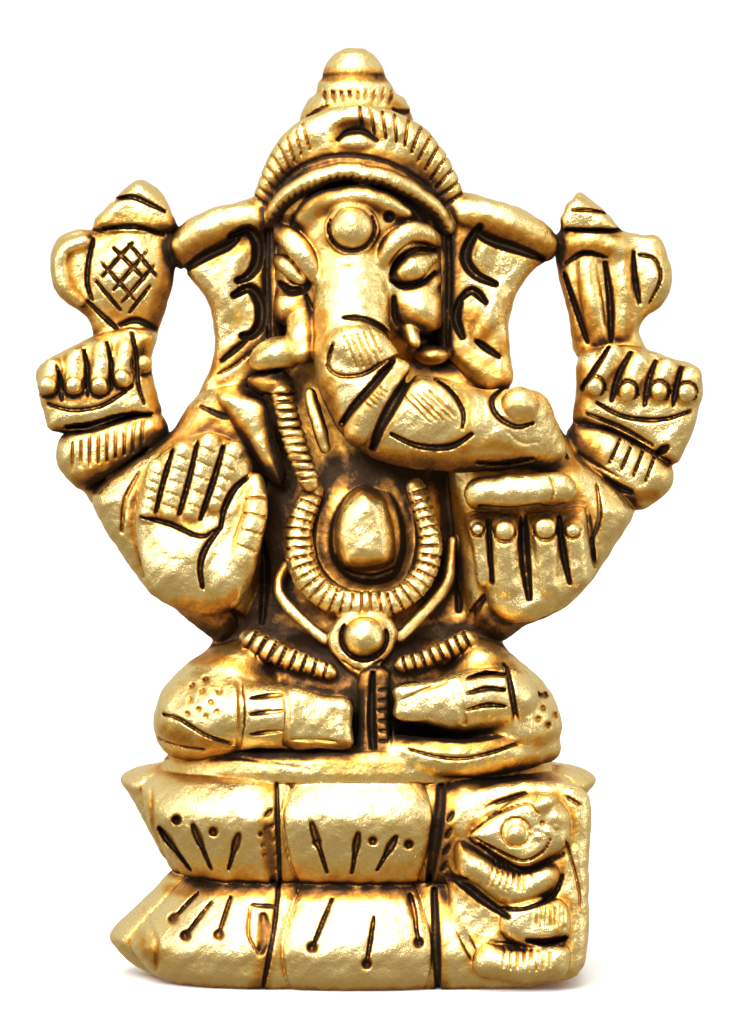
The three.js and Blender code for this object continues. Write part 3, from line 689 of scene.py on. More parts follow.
@sculpted
def waist_belt_left(p):
    beaded_belt(p, [(3.4, -9.0, 26.5, 0.8), (5.2, -8.6, 27.0, 0.85), (7.2, -7.8, 27.8, 0.9),
                    (9.2, -6.5, 28.7, 0.9)])


@sculpted
def sacred_cord(p):
    route = [(-6.3, -6.0, 48.9, 0.9), (-5.6, -7.0, 46.4, 1.0), (-4.8, -7.5, 43.8, 1.0),
             (-3.9, -7.5, 41.4, 0.9)]
    p.rope(route, ribs=11, rib_depth=0.12, steps=6)
    p.ticks(front_view(route), 11, 1.9, 0.22, 0.34, 0.3)
    p.rope([(-3.9, -6.8, 48.6, 0.5), (-3.2, -7.5, 46.2, 0.6), (-2.7, -7.6, 44.2, 0.5)], blend=0.2)


@sculpted
def shoulder_knob(p):
    p.egg((-7.0, -5.3, 49.4), (2.0, 1.6, 1.2), -8, 0.3)
    p.egg((-6.6, -6.1, 51.7), (2.3, 2.0, 1.5), 16, 0.3)
    p.line([(-8.8, 50.1), (-7.2, 50.4), (-5.4, 50.6)], 0.4, 0.4)
    p.line([(-7.6, 48.5), (-6.8, 48.2)], 0.6, 0.4)
    p.shade_and_patina_wash([(-8.6, 49.4), (-5.6, 49.4)], 1.8, 0.4)


@sculpted
def sash_end(p):
    p.slab([(-11.4, 48.6), (-8.6, 48.4), (-7.1, 47.4), (-6.8, 45.4), (-6.0, 42.8), (-6.1, 41.2),
            (-7.0, 41.4), (-8.6, 43.6), (-10, 46)], -7.0, -3.0, 1.3, 0.6)
    p.line([(-8.8, 48.4), (-7.6, 48.2), (-7.0, 46.6)], 0.4, 0.3)
    p.shade_and_patina_wash([(-7.4, 47.4), (-6.9, 45.0), (-6.3, 41.8)], 2.0, 0.48)


# ---- front arms and hands ----

@sculpted
def front_right_arm(p):
    p.slab([(-13.2, 48.4), (-9.8, 49.4), (-7.4, 47), (-7.6, 40), (-8.2, 32), (-10.6, 28.4), (-12.2, 28.9),
            (-14.8, 31.0), (-17.2, 32.8), (-19.0, 35.2), (-20.6, 37.6), (-21.6, 40.4), (-19.2, 42.6),
            (-16.6, 44.2), (-14.8, 46)], -5.8, 2.2, 2.6, 0.6)
    p.line([(-12.8, 47.6), (-11.0, 46.8), (-9.0, 46.6)], 0.5, 0.3)
    p.line([(-17.8, 42.2), (-18.9, 40), (-19.2, 37.4)], 0.5, 0.25)
    p.line([(-10.2, 31.0), (-9.3, 29.8), (-9.0, 28.6)], 0.7, 0.5)
    p.shade_and_patina_wash([(-15.8, 44.4), (-13.4, 46.4), (-10.4, 47.4)], 2.2, 0.28)
    p.shade_and_patina_wash([(-15.6, 30.6), (-12.4, 29.4), (-9.6, 30.2)], 2.4, 0.45)


@sculpted
def front_right_palm(p):
    p.slab([(-17.2, 42.2), (-15.8, 43.9), (-14.2, 44.8), (-12.3, 45.4), (-10.6, 45.0), (-9.0, 43.8),
            (-8.3, 41.8), (-8.4, 38), (-8.8, 34), (-9.8, 31.4), (-12, 30.5), (-14.8, 31.2), (-17.0, 33.4),
            (-18.1, 36.6), (-18.1, 39.6)], -8.0, -4.6, 1.7, 0.5)
    p.egg((-13.8, -6.9, 35.0), (4.0, 1.9, 3.2), 30, 0.8)
    p.egg((-10.6, -7.2, 34.0), (1.9, 1.7, 3.0), -14, 0.3)
    fingers = [((-17.0, 38.9), (-16.2, 42.4)), ((-15.3, 38.9), (-14.2, 43.9)), ((-13.4, 38.9), (-12.1, 44.6)),
               ((-11.6, 39.6), (-10.2, 43.9))]
    for low, high in fingers:
        p.rope([(low[0], -7.6, low[1], 0.85), (high[0], -7.3, high[1], 0.95)], blend=0.3, steps=1)
        p.ticks([low, high], 5, 1.2, 0.2, 0.18, 0.15)
    p.line([(-15.0, 44.0), (-15.8, 41.4), (-16.4, 39.0)], 0.42, 0.5)
    p.line([(-13.0, 44.6), (-13.7, 41.6), (-14.5, 38.8)], 0.42, 0.5)
    p.line([(-10.9, 44.3), (-11.8, 41.2), (-12.8, 38.4)], 0.5, 0.55)
    p.line([(-8.4, 42.2), (-9.9, 41.0), (-10.8, 39.4), (-11.1, 37.8)], 0.55, 0.6)
    p.line([(-11.1, 37.8), (-12.4, 36.0), (-12.8, 34.4), (-12.6, 32.9)], 0.6, 0.6)
    p.line([(-17.6, 38.6), (-15.2, 38.0), (-12.8, 37.0), (-11.4, 37.6)], 0.42, 0.45)
    p.line([(-17.9, 40.6), (-18.3, 37.6), (-17.4, 33.8)], 0.42, 0.4)
    p.shade_and_patina_wash([(-14.6, 31.6), (-11.4, 31.2), (-9.4, 32.6)], 1.8, 0.35)
    p.shade_and_patina_wash([(-16.4, 38.6), (-12.4, 37.4)], 1.6, 0.25)


@sculpted
def open_palm_thumb(p):
    route = [(-8.4, -7.0, 41.4, 0.85), (-8.3, -7.8, 39.2, 1.0), (-8.9, -8.0, 36.8, 1.15),
             (-9.6, -7.8, 34.4, 1.2), (-10.4, -7.2, 32.2, 1.0)]
    p.rope(route, blend=0.4)
    p.ticks([(-8.3, 40.8), (-8.3, 39.2), (-8.8, 36.8), (-9.3, 35.4)], 4, 1.7, 0.24, 0.22)


@sculpted
def front_left_arm(p):
    p.slab([(11.2, 28.4), (13.8, 29.8), (16.3, 30.9), (18.0, 32.2), (19.5, 34.0), (20.9, 36.2),
            (22.5, 39.2), (20.4, 41.6), (18.4, 43.2), (17.2, 44.8), (14.6, 47.6), (10, 48.6), (7.4, 46),
            (7.6, 38), (8.6, 30.6)], -5.8, 2.2, 2.6, 0.6)
    p.line([(17.0, 43.4), (15.6, 44.8), (13.6, 46)], 0.5, 0.3)
    p.line([(19.4, 41.2), (19.6, 38.6), (18.8, 36.2)], 0.5, 0.3)
    p.line([(10.4, 32.2), (9.4, 30.8), (9.2, 29.2)], 0.8, 0.5)
    p.shade_and_patina_wash([(17.4, 43.0), (15.0, 43.6), (12.6, 44.6)], 2.4, 0.35)
    p.shade_and_patina_wash([(10.6, 30.6), (13.2, 29.6), (15.6, 30.8)], 1.8, 0.4)


@sculpted
def front_left_hand(p):
    p.slab([(8.8, 38.8), (9.6, 35.6), (10.2, 32.6), (11.4, 30.4), (13.6, 30.0), (16.2, 31.0), (18.0, 32.4),
            (19.4, 34.4), (19.2, 37), (18.4, 39.4), (15.6, 39), (12, 38.8)], -7.6, -4.4, 1.5, 0.5)
    fingers = [((9.7, 37.9), (10.3, 33.6), 0.75), ((11.9, 37.7), (12.1, 33.2), 1.15),
               ((15.2, 37.8), (15.5, 33.2), 1.1), ((17.5, 37.6), (17.9, 33.6), 0.95)]
    for tip, root, thick in fingers:
        p.rope([(tip[0], -7.6, tip[1], thick), (root[0], -7.0, root[1], thick)], blend=0.4, steps=1)
    p.line([(10.6, 38.4), (10.7, 36), (10.9, 33.2)], 0.36, 0.5)
    p.line([(13.4, 38.8), (13.5, 35.6), (13.9, 32.0)], 0.95, 0.9)
    p.line([(16.3, 38.6), (16.6, 36), (17.2, 33.2)], 0.5, 0.6)
    p.line([(18.6, 39.2), (18.9, 36.8), (19.2, 34.6)], 0.6, 0.5)
    for place, size in [((9.7, 37.6), 0.5), ((11.9, 37.5), 0.85), ((15.2, 37.7), 0.9), ((17.4, 37.5), 0.6)]:
        p.egg((place[0], -8.5, place[1]), (size, 0.5, size), 0, 0.1)
        p.line(arc(place, size * 1.1, 3.0, 6.4, 7), 0.26, 0.26)


@sculpted
def sweet_roll(p):
    p.rope([(9.9, -8.6, 40.5, 1.35), (13.2, -8.9, 40.7, 1.45), (16.4, -8.6, 40.9, 1.3)], blend=0.3)
    p.line([(9.8, 39.5), (12.2, 39.2), (14.8, 39.6)], 0.45, 0.35)
    p.shade_and_patina_wash([(9.4, 39.4), (12.8, 39.2), (16.4, 39.6)], 1.2, 0.45)
    p.line([(15.6, 41.8), (15.9, 40.9), (15.7, 40)], 0.35, 0.2)


# ---- rear arms and what they hold ----

def rear_arm(p, side):
    p.rope([(side * 8.6, 2.6, 44.4, 3.2), (side * 14.4, 2.4, 41.4, 3.0), (side * 19.6, 0.8, 41.8, 3.0)],
           blend=0.6)


@sculpted
def rear_right_arm(p):
    rear_arm(p, -1)


@sculpted
def rear_left_arm(p):
    rear_arm(p, 1)


@sculpted
def rear_right_bracelet(p):
    p.slab([(-24.1, 45.2), (-24.6, 43.4), (-23.8, 41.8), (-22.2, 40.8), (-19.6, 42.0), (-17.2, 43.6),
            (-15.5, 45.4), (-16.2, 47.0), (-19, 46.9), (-22, 45.9)], -4.6, 2.6, 1.9, 0.4)
    p.line([(-24.2, 45.4), (-21.6, 45.7), (-18.6, 46.7), (-16.0, 47.1)], 0.4, 0.5)
    p.line([(-21.6, 41.0), (-19.6, 42.0), (-17.2, 44.2)], 0.7, 0.6)
    p.ticks([(-23.6, 43.4), (-20.6, 44.3), (-17.2, 45.4)], 9, 2.3, 0.26, 0.3, 0.35)
    p.shade_and_patina_wash([(-22.6, 41.6), (-19.8, 42.9), (-16.6, 45.2)], 1.8, 0.4)


@sculpted
def rear_left_bracelet(p):
    p.slab([(25.5, 42.8), (25.5, 41.1), (24.5, 40.0), (22.6, 39.2), (20.4, 40.8), (18.6, 42.4),
            (17.1, 43.9), (17.5, 46.2), (20.4, 45.9), (23, 44.6)], -4.6, 2.6, 1.9, 0.4)
    p.line([(17.6, 46.3), (20.4, 45.7), (22.8, 44.6), (25.4, 43.0)], 0.4, 0.5)
    p.line([(18.3, 42.6), (20.2, 41.4), (22.2, 40.6)], 0.75, 0.6)
    p.ticks([(20.4, 44.2), (22.0, 43.3), (24.2, 42.2)], 4, 2.4, 0.28, 0.4, -0.1)
    p.line([(17.8, 43.8), (19.4, 42.8), (21.2, 41.8)], 0.3, 0.2)
    p.shade_and_patina_wash([(17.8, 45.6), (18.8, 44.4), (19.6, 43.2)], 2.4, 0.36)
    p.shade_and_patina_wash([(19.0, 41.9), (21.6, 40.6), (24.0, 40.4)], 1.4, 0.4)


@sculpted
def rear_right_hand(p):
    p.slab([(-21.5, 53.3), (-23.6, 52.3), (-25.9, 51.0), (-26.2, 49.6), (-25.6, 47.2), (-24.9, 45.6),
            (-22, 45.6), (-19, 46.4), (-16.1, 46.6), (-16.6, 49.4), (-16.9, 51.6), (-16.4, 53.6),
            (-18.6, 54)], -4.2, 1.6, 1.5, 0.5)
    tips = [(-25.2, 49.3), (-23.1, 49.3), (-21.0, 49.3), (-19.1, 49.9)]
    knuckles = [(-24.8, 50.6), (-22.9, 51.5), (-20.7, 52.1), (-18.9, 52.2)]
    for tip, knuckle in zip(tips, knuckles):
        p.rope([(tip[0], -4.0, tip[1], 0.95), (knuckle[0], -3.8, knuckle[1], 0.95)], blend=0.3, steps=1)
    for place in tips + [(-17.4, 51.1)]:
        p.egg((place[0], -5.0, place[1]), (0.68, 0.45, 0.68), 0, 0.05)
        p.line(arc(place, 0.95, 2.9, 6.9, 8), 0.22, 0.3)
    p.line([(-24.5, 50.9), (-24.2, 49.6), (-24.1, 48.0)], 0.34, 0.4)
    p.line([(-22.3, 52.2), (-22.0, 50.6), (-22.0, 48.4)], 0.36, 0.45)
    p.line([(-20.4, 52.8), (-20.1, 51.2), (-20.0, 49.0)], 0.36, 0.45)
    p.line([(-18.4, 53.6), (-18.0, 51.4), (-17.9, 49.4), (-17.4, 47.8)], 0.42, 0.45)
    p.line([(-25.2, 47.8), (-23.4, 47.3), (-21, 47.6), (-18.9, 48.8)], 0.42, 0.4)
    p.line([(-23.7, 45.9), (-21.6, 46.1), (-18.9, 46.8), (-16.9, 46.9)], 0.65, 0.6)
    p.shade_and_patina_wash([(-25.0, 48.4), (-22.0, 48.3), (-19.4, 49.0)], 1.2, 0.35)
    p.shade_and_patina_wash([(-17.4, 53.0), (-17.2, 50.6), (-16.6, 47.4)], 1.6, 0.3)


@sculpted
def rear_left_hand(p):
    p.slab([(23.6, 52.2), (25.2, 51.6), (27.3, 51.0), (28.1, 49.4), (27.8, 47.4), (26.9, 44.6),
            (25.5, 42.8), (22.6, 44.6), (20, 45.8), (17.6, 46), (17.8, 48.6), (18.0, 51.6), (20.6, 52.6)],
           -4.2, 1.6, 1.5, 0.5)
    tips = [(19.2, 49.2), (21.9, 48.8), (24.5, 48.8), (26.7, 48.7)]
    knuckles = [(20.6, 51.8), (22.8, 51.0), (25.2, 50.6), (27.0, 50.0)]
    for tip, knuckle in zip(tips, knuckles):
        p.rope([(tip[0], -3.9, tip[1], 0.95), (knuckle[0], -3.8, knuckle[1], 0.95)], blend=0.3, steps=1)
        p.egg((tip[0], -4.8, tip[1]), (0.72, 0.45, 0.78), 0, 0.05)
        p.line(arc(tip, 0.85, -0.9, 3.5, 8), 0.24, 0.32)
    p.line([(20.4, 52.4), (19.4, 50.8), (18.2, 49.0)], 0.5, 0.5)
    p.line([(22.2, 52.0), (21.2, 50.2), (20.6, 48.0)], 0.48, 0.5)
    p.line([(24.2, 51.3), (23.6, 49.6), (23.3, 47.6)], 0.45, 0.5)
    p.line([(26.3, 50.8), (25.9, 49.2), (25.6, 47.6)], 0.4, 0.45)
    p.line([(19.4, 47.9), (21.2, 46.9), (23.2, 46.5), (25.2, 46.6), (27.0, 47.2)], 0.42, 0.45)
    p.line([(18.6, 47.0), (21.4, 45.9), (24.0, 44.4)], 0.4, 0.4)
    p.line([(25.2, 44.3), (24.4, 43.8)], 0.8, 0.55)
    p.shade_and_patina_wash([(18.2, 50.6), (18.0, 48.0), (18.4, 46.2)], 1.4, 0.45)
    p.shade_and_patina_wash([(20.6, 49.0), (23.2, 48.6), (25.8, 48.4)], 1.2, 0.28)


@sculpted
def rear_right_attribute(p):
    p.slab([(-21.4, 53.2), (-22.0, 54.8), (-23.9, 56.2), (-24.9, 57.6), (-25.0, 59.6), (-24.5, 61.3),
            (-22.9, 62.0), (-21.4, 62.1), (-20.3, 63.7), (-19.0, 65.3), (-17.6, 66.0), (-16.2, 65.2),
            (-15.2, 63.4), (-14.8, 61.2), (-15.1, 58), (-15.6, 55.8), (-16.4, 53.6), (-17, 52.4),
            (-20, 52.2)], -2.9, 1.6, 1.3, 0.5, steps=4)
    p.egg((-18.5, -2.4, 58.4), (3.4, 1.7, 3.5), 0, 0.8)
    p.rope([(-22.2, -2.9, 61.0, 0.5), (-24.0, -2.8, 60.2, 0.6), (-24.0, -2.8, 57.6, 0.6),
            (-22.6, -2.8, 56.2, 0.5)], blend=0.4)
    p.slab([(-21.6, 62.0), (-19.0, 65.0), (-17.4, 65.7), (-15.4, 63.6), (-15.1, 61.8)], -3.7, -1, 0.9, 0.3)
    p.line([(-20.0, 64.3), (-18.4, 64.6), (-16.9, 64.0), (-15.7, 63.4)], 0.5, 0.45)
    p.line([(-20.7, 62.0), (-18.2, 62.2), (-15.8, 61.6)], 0.45, 0.5)
    falling = [((-19.9, 60.5), (-17.3, 57.9)), ((-20.8, 59.2), (-18.1, 56.2)), ((-18.6, 60.8), (-16.4, 58.2)),
               ((-21.3, 57.8), (-19.3, 55.4))]
    rising = [((-20.8, 58.1), (-18.3, 60.9)), ((-19.9, 57.0), (-17.1, 60.2)), ((-19.2, 56.0), (-16.6, 59.0)),
              ((-18.6, 55.2), (-16.9, 57.4))]
    for start, end in falling + rising:
        p.line([start, end], 0.36, 0.45)
    p.line([(-21.5, 61.2), (-21.9, 59.4), (-22.0, 57.5), (-21.6, 56.2)], 0.42, 0.45)
    p.line([(-22.0, 56.2), (-20.6, 54.8), (-18.9, 53.3)], 0.42, 0.5)
    p.line([(-19.4, 54.2), (-18.0, 54.6), (-16.4, 53.8)], 0.5, 0.45)
    p.shade_and_patina_wash([(-20.8, 62.4), (-18.2, 62.9), (-15.6, 62.0)], 1.6, 0.35)
    p.shade_and_patina_wash([(-15.4, 60.8), (-15.8, 57.4), (-16.6, 54.2)], 1.8, 0.45)
    p.shade_and_patina_wash([(-23.4, 59.6), (-23.2, 57.4), (-21.8, 55.4)], 1.2, 0.3)


@sculpted
def rear_left_attribute(p):
    p.slab([(17.8, 51.8), (17.2, 55), (16.3, 58.6), (16.1, 61.2), (17.0, 62.6), (17.5, 64.4), (18.2, 65.0),
            (20.0, 63.6), (21.5, 62.0), (23.0, 61.6), (24.4, 61.5), (25.2, 60.0), (25.6, 58.0),
            (25.0, 56.1), (23.4, 54.8), (22.9, 53.6), (23.4, 51.9), (20.6, 51.6)], -2.7, 1.6, 1.3, 0.5,
           steps=4)
    p.rope([(17.4, -2.2, 60.8, 1.0), (19.0, -2.6, 61.0, 1.1), (21.0, -2.4, 60.4, 1.0)], blend=0.6)
    p.rope([(18.6, -2.4, 59.2, 0.9), (19.0, -2.8, 56, 0.9), (19.7, -2.5, 53, 0.8)], blend=0.3)
    p.rope([(17.3, -2.0, 58.6, 0.6), (18.2, -2.1, 53.6, 0.6)], blend=0.3, steps=1)
    p.rope([(21.3, -2.2, 60.0, 0.9), (21.7, -2.4, 56.6, 0.9), (21.5, -2.1, 53.6, 0.8)], blend=0.4)
    p.egg((23.9, -2.2, 58.1), (1.1, 1.0, 2.1), -6, 0.4)
    p.slab([(16.6, 62.0), (17.8, 64.6), (21.2, 61.9)], -3.6, -1, 0.7, 0.3)
    p.line([(17.4, 63.5), (18.8, 63.5), (20.1, 63.3)], 0.38, 0.4)
    p.line([(16.9, 62.0), (19, 61.9), (21.4, 61.9)], 0.42, 0.5)
    p.line([(16.9, 59.2), (18.4, 60.1), (20.2, 59.7)], 0.36, 0.4)
    p.line([(16.8, 58.4), (17.7, 55.8), (18.7, 52.8)], 0.5, 0.6)
    p.line([(20.1, 59.3), (20.5, 56.2), (20.6, 52.8)], 0.55, 0.6)
    p.line([(22.4, 60.2), (22.5, 58.2), (22.9, 56.0)], 0.42, 0.5)
    p.line([(22.8, 59.9), (24.1, 59.6), (24.6, 58.0), (23.7, 56.0)], 0.36, 0.4)
    p.shade_and_patina_wash([(16.8, 60.0), (18.4, 60.9), (20.4, 60.4)], 1.4, 0.4)
    p.shade_and_patina_wash([(18.0, 57.6), (18.8, 55.0), (19.6, 52.8)], 1.4, 0.35)
    p.shade_and_patina_wash([(16.7, 60.8), (17.0, 57.4), (18.0, 52.6)], 1.1, 0.4)
    p.shade_and_patina_wash([(22.0, 60.2), (22.2, 56.4), (22.0, 53.4)], 1.0, 0.28)


# ---- head ----

@sculpted
def head(p):
    p.egg((0.1, -1.6, 58.2), (7.4, 5.6, 8.6), 0, 1)
    p.egg((-0.4, -5.0, 62.0), (4.4, 2.3, 3.4), 0, 1.2)
    p.rope([(-4.4, -5.9, 62.9, 0.7), (-3.3, -6.5, 64.0, 0.8), (-0.6, -7.0, 64.6, 0.85),
            (2.0, -6.8, 64.2, 0.8), (3.8, -6.2, 63.2, 0.6)], blend=0.9)
    p.egg((-0.5, -4.6, 58.6), (3.6, 2.9, 3.0), 0, 1.0)
    p.egg((4.9, -5.0, 55.4), (2.4, 2.0, 2.0), 0, 0.8)
    p.egg((-5.0, -4.8, 55.6), (1.9, 1.8, 1.8), 0, 0.8)
    p.egg((6.0, -3.6, 51.8), (1.5, 1.5, 0.8), 0, 0.7)
    p.egg((4.4, -6.2, 58.7), (2.3, 1.0, 1.3), 26, 0.3, cut=True)
    p.egg((-5.4, -6.0, 58.2), (1.8, 1.0, 1.6), -34, 0.3, cut=True)
    p.rope([(1.9, -6.6, 58.5, 0.5), (2.3, -7.0, 60.1, 0.75), (3.7, -7.0, 61.5, 0.85),
            (5.3, -6.1, 61.6, 0.8), (6.7, -4.9, 60.8, 0.5)], blend=0.2)
    p.rope([(3.0, -6.1, 57.9, 0.4), (4.5, -6.3, 58.8, 1.05), (6.1, -5.4, 59.6, 0.45)], blend=0.05)
    p.rope([(3.4, -5.5, 56.5, 0.4), (4.9, -5.9, 56.8, 0.6), (6.6, -4.6, 58.0, 0.5)], blend=0.3)
    p.rope([(-6.4, -5.0, 61.6, 0.75), (-5.4, -5.9, 61.0, 0.95), (-4.3, -6.5, 59.6, 0.95),
            (-3.5, -6.5, 58.1, 0.6)], blend=0.15)
    p.rope([(-6.6, -4.6, 59.5, 0.5), (-5.6, -5.5, 58.9, 0.8), (-4.5, -6.0, 57.8, 0.5)], blend=0.05)
    p.line([(-6.3, 57.6), (-5.5, 57.0), (-4.7, 57.1)], 0.7, 0.6)
    p.dot((2.5, 62.9), 0.5, 0.6)
    p.line([(-2.2, 60.8), (-1.0, 59.8), (0.2, 59.7), (1.2, 60.6)], 0.3, -0.14)
    p.line([(2.6, 57.8), (3.8, 57.3), (5.2, 57.6), (6.3, 58.5)], 0.36, 0.4)
    p.line([(2.7, 58.3), (3.4, 59.5), (4.7, 60.3), (6.3, 60.3)], 0.4, 0.4)
    p.line([(6.95, 63.3), (7.0, 58), (6.95, 52.6)], 0.5, 0.5)
    p.line([(-7.0, 62.6), (-7.1, 58), (-7.0, 53.4)], 0.5, 0.5)
    p.line([(2.9, 56.4), (3.1, 54.6), (4.4, 53.4), (6.2, 53.2)], 0.6, 0.5)
    p.line([(-4.2, 56.6), (-3.9, 55.4), (-5.4, 54.8)], 0.4, 0.35)
    for side in (-1, 1):
        p.shade_and_patina_wash([(side * 7.0, 63.2), (side * 7.1, 58), (side * 7.0, 52.6)], 1.7, 0.8)
    p.shade_and_patina_wash([(-6.4, 61.9), (-4.6, 63.9), (-0.6, 65.5), (3.4, 64.7), (6.2, 62.4)], 1.6, 0.55)
    p.shade_and_patina_wash([(2.8, 58.2), (3.8, 57.2), (5.6, 57.6)], 1.0, 0.45)
    p.shade_and_patina_wash([(3.6, 55.2), (4.8, 54.0), (6.4, 53.2)], 1.8, 0.4)
    p.shade_and_patina_wash([(-4.2, 56.8), (-5.2, 54.6), (-6.4, 53.6)], 2.0, 0.4)


@sculpted
def tilak_bead(p):
    p.egg((-0.5, -7.4, 61.9), (2.2, 0.8, 2.2), 0, 0.2)
    p.egg((-0.5, -8.1, 62.0), (1.65, 1.3, 1.65), 0, 0.05)
    p.line(arc((-0.5, 62.0), 1.85, 2.8, 6.8, 11), 0.36, 0.45)


@sculpted
def trunk(p):
    p.rope([(-0.6, -3.6, 61.8, 2.4), (-0.5, -5.6, 58.2, 3.0), (-0.5, -7.4, 53.6, 3.1),
            (0.0, -8.0, 50.2, 3.4), (2.0, -8.4, 47.0, 3.6), (5.8, -8.7, 46.2, 3.8), (9.6, -8.4, 45.6, 3.4),
            (12.8, -7.8, 45.6, 3.1), (15.0, -7.2, 44.2, 1.9)], flat=0.8, blend=0.6)
    p.egg((0.4, -9.6, 52.0), (3.0, 1.5, 2.0), -20, 0.35)
    p.egg((5.9, -10.6, 47.3), (2.9, 1.4, 2.3), -24, 0.35)
    p.rope([(3.4, -9.6, 50.4, 0.9), (1.4, -10.6, 48.2, 1.3), (-0.1, -10.4, 45.4, 1.1)], blend=0.35)
    p.egg((13.6, -8.0, 46.8), (2.2, 2.2, 2.2), 0, 0.5)
    p.line([(-2.0, 52.6), (-2.4, 50.8), (-1.4, 50.0), (0.4, 50.1), (1.9, 51.0), (3.2, 51.6)], 0.42, 0.4)
    p.line([(-1.2, 54.7), (0.4, 54.6), (2.0, 53.8), (3.3, 52.2)], 0.55, 0.55)
    p.hatch((-0.9, 51.9), (1.9, 52.4), 5, (-1.1, 2.7), 0.24, 0.22)
    p.line([(2.8, 51.2), (1.2, 49.2), (-0.4, 47.4), (-1.3, 46.1)], 0.8, 0.7)
    p.line([(4.4, 50.2), (2.9, 47.8), (1.8, 45.8), (1.2, 44.2)], 1.0, 0.8)
    p.hatch((0.5, 47.6), (2.0, 49.2), 5, (1.0, -0.9), 0.22, 0.22)
    p.line([(6.2, 49.7), (7.6, 48.6), (8.5, 47.0), (8.4, 45.8)], 0.42, 0.45)
    p.hatch((4.5, 47.2), (7.1, 47.8), 5, (2.2, -2.2), 0.24, 0.24)
    p.line([(2.7, 45.3), (4.4, 44.5), (6.2, 44.2), (7.8, 44.4), (9.2, 45.3)], 0.6, 0.65)
    p.line([(11.8, 49.0), (10.8, 48.0), (11.3, 46.7), (12.8, 45.9), (14.2, 46.2)], 0.5, 0.5)
    p.line([(9.6, 43.0), (11.6, 42.9), (14.2, 43.3)], 0.42, 0.45)
    p.line([(12.2, 45.4), (13.2, 44.6), (14.6, 44.6)], 0.3, 0.2)
    p.shade_and_patina_wash([(-2.6, 49.2), (-2.2, 46.4), (0.4, 43.8), (4.5, 42.9), (9, 42.6), (13.4, 42.8)], 2.6, 0.55)
    p.shade_and_patina_wash([(-2.8, 55.2), (-2.9, 51.6), (-2.6, 49.2)], 1.3, 0.4)
    p.shade_and_patina_wash([(8.6, 44.0), (11.0, 44.6), (13.2, 43.8)], 1.6, 0.35)
    p.shade_and_patina_wash([(6.4, 50.0), (8.6, 49.6), (10.4, 48.6)], 1.0, 0.4)
    p.shade_and_patina_wash([(2.4, 50.4), (0.2, 47.4), (-1.2, 45.6)], 1.7, 0.3)
    p.shade_and_patina_wash([(4.2, 49.6), (2.6, 46.8), (1.4, 44.2)], 1.9, 0.3)
    p.shade_and_patina_wash([(8.7, 48.2), (8.8, 45.4), (6.4, 43.9)], 1.7, 0.35)


@sculpted
def trunk_sweet(p):
    p.egg((13.1, -10.0, 47.7), (1.5, 1.4, 1.45), 0, 0.1)


@sculpted
def tusk_right(p):
    p.rope([(-4.5, -5.4, 55.0, 1.2), (-4.5, -6.6, 53.4, 1.3), (-4.4, -7.2, 52.0, 1.0)], blend=0.3)


@sculpted
def tusk_left(p):
    p.rope([(4.0, -5.4, 54.2, 0.8), (4.3, -6.2, 53.4, 0.7), (4.5, -6.6, 52.8, 0.55)], blend=0.3)


@sculpted
def ear_right(p):
    p.slab([(-7.0, 64.2), (-11, 63.8), (-14.4, 62.2), (-14.9, 60.6), (-14.1, 58.6), (-12.6, 56.8),
            (-11.8, 54.6), (-11.7, 52.2), (-12.1, 50.3), (-12.9, 48.4), (-10.8, 47.6), (-8.8, 49),
            (-6.4, 52), (-6.0, 58)], -3.9, 0.4, 1.2, 0.4)
    p.rope([(-7.8, -3.6, 62.9, 1.3), (-11.0, -3.8, 62.5, 1.4), (-13.5, -3.2, 61.0, 1.5),
            (-13.9, -2.4, 59.7, 1.1)], blend=0.35)
    p.rope([(-9.9, -3.4, 59.4, 0.8), (-10.6, -3.5, 57.4, 0.9), (-10.3, -3.4, 55.4, 0.8)], blend=0.6)
    p.rope([(-11.6, -3.0, 49.4, 0.9), (-10.2, -3.2, 51.2, 0.8), (-8.4, -3.4, 52.6, 0.7)], blend=0.4)
    p.line([(-14.2, 58.6), (-12.4, 59.8), (-10.6, 60.6), (-9.8, 61.2)], 0.9, 0.6)
    p.line([(-10.3, 61.4), (-8.9, 61.9), (-8.1, 60.8), (-8.2, 59.2), (-9.0, 58.1), (-9.8, 57.8)], 1.1, 0.9)
    p.line([(-10.1, 56.6), (-8.8, 57.2), (-7.9, 56.0), (-7.9, 54.4), (-8.6, 53.4), (-9.4, 53.3)], 1.1, 0.9)
    p.line([(-11.1, 51.3), (-10.2, 52.0), (-9.1, 52.9)], 0.5, 0.5)
    p.line([(-11.4, 50.2), (-10.2, 50.8), (-8.6, 52.0)], 0.3, 0.3)
    p.shade_and_patina_wash([(-14.4, 59.2), (-12.4, 60.3), (-10.0, 61.4), (-8.4, 61.4)], 3.2, 0.5)
    p.shade_and_patina_wash([(-11.8, 50.6), (-10.4, 51.8), (-8.6, 53.2)], 2.0, 0.45)
    p.line([(-7.3, 63.0), (-7.4, 58), (-7.2, 53.0)], 0.7, 0.5)
    p.shade_and_patina_wash([(-7.4, 63.4), (-7.5, 58), (-7.3, 52.6)], 1.6, 0.8)
    p.shade_and_patina_wash([(-8.4, 60.8), (-8.0, 56.6), (-8.0, 53.4)], 1.8, 0.35)


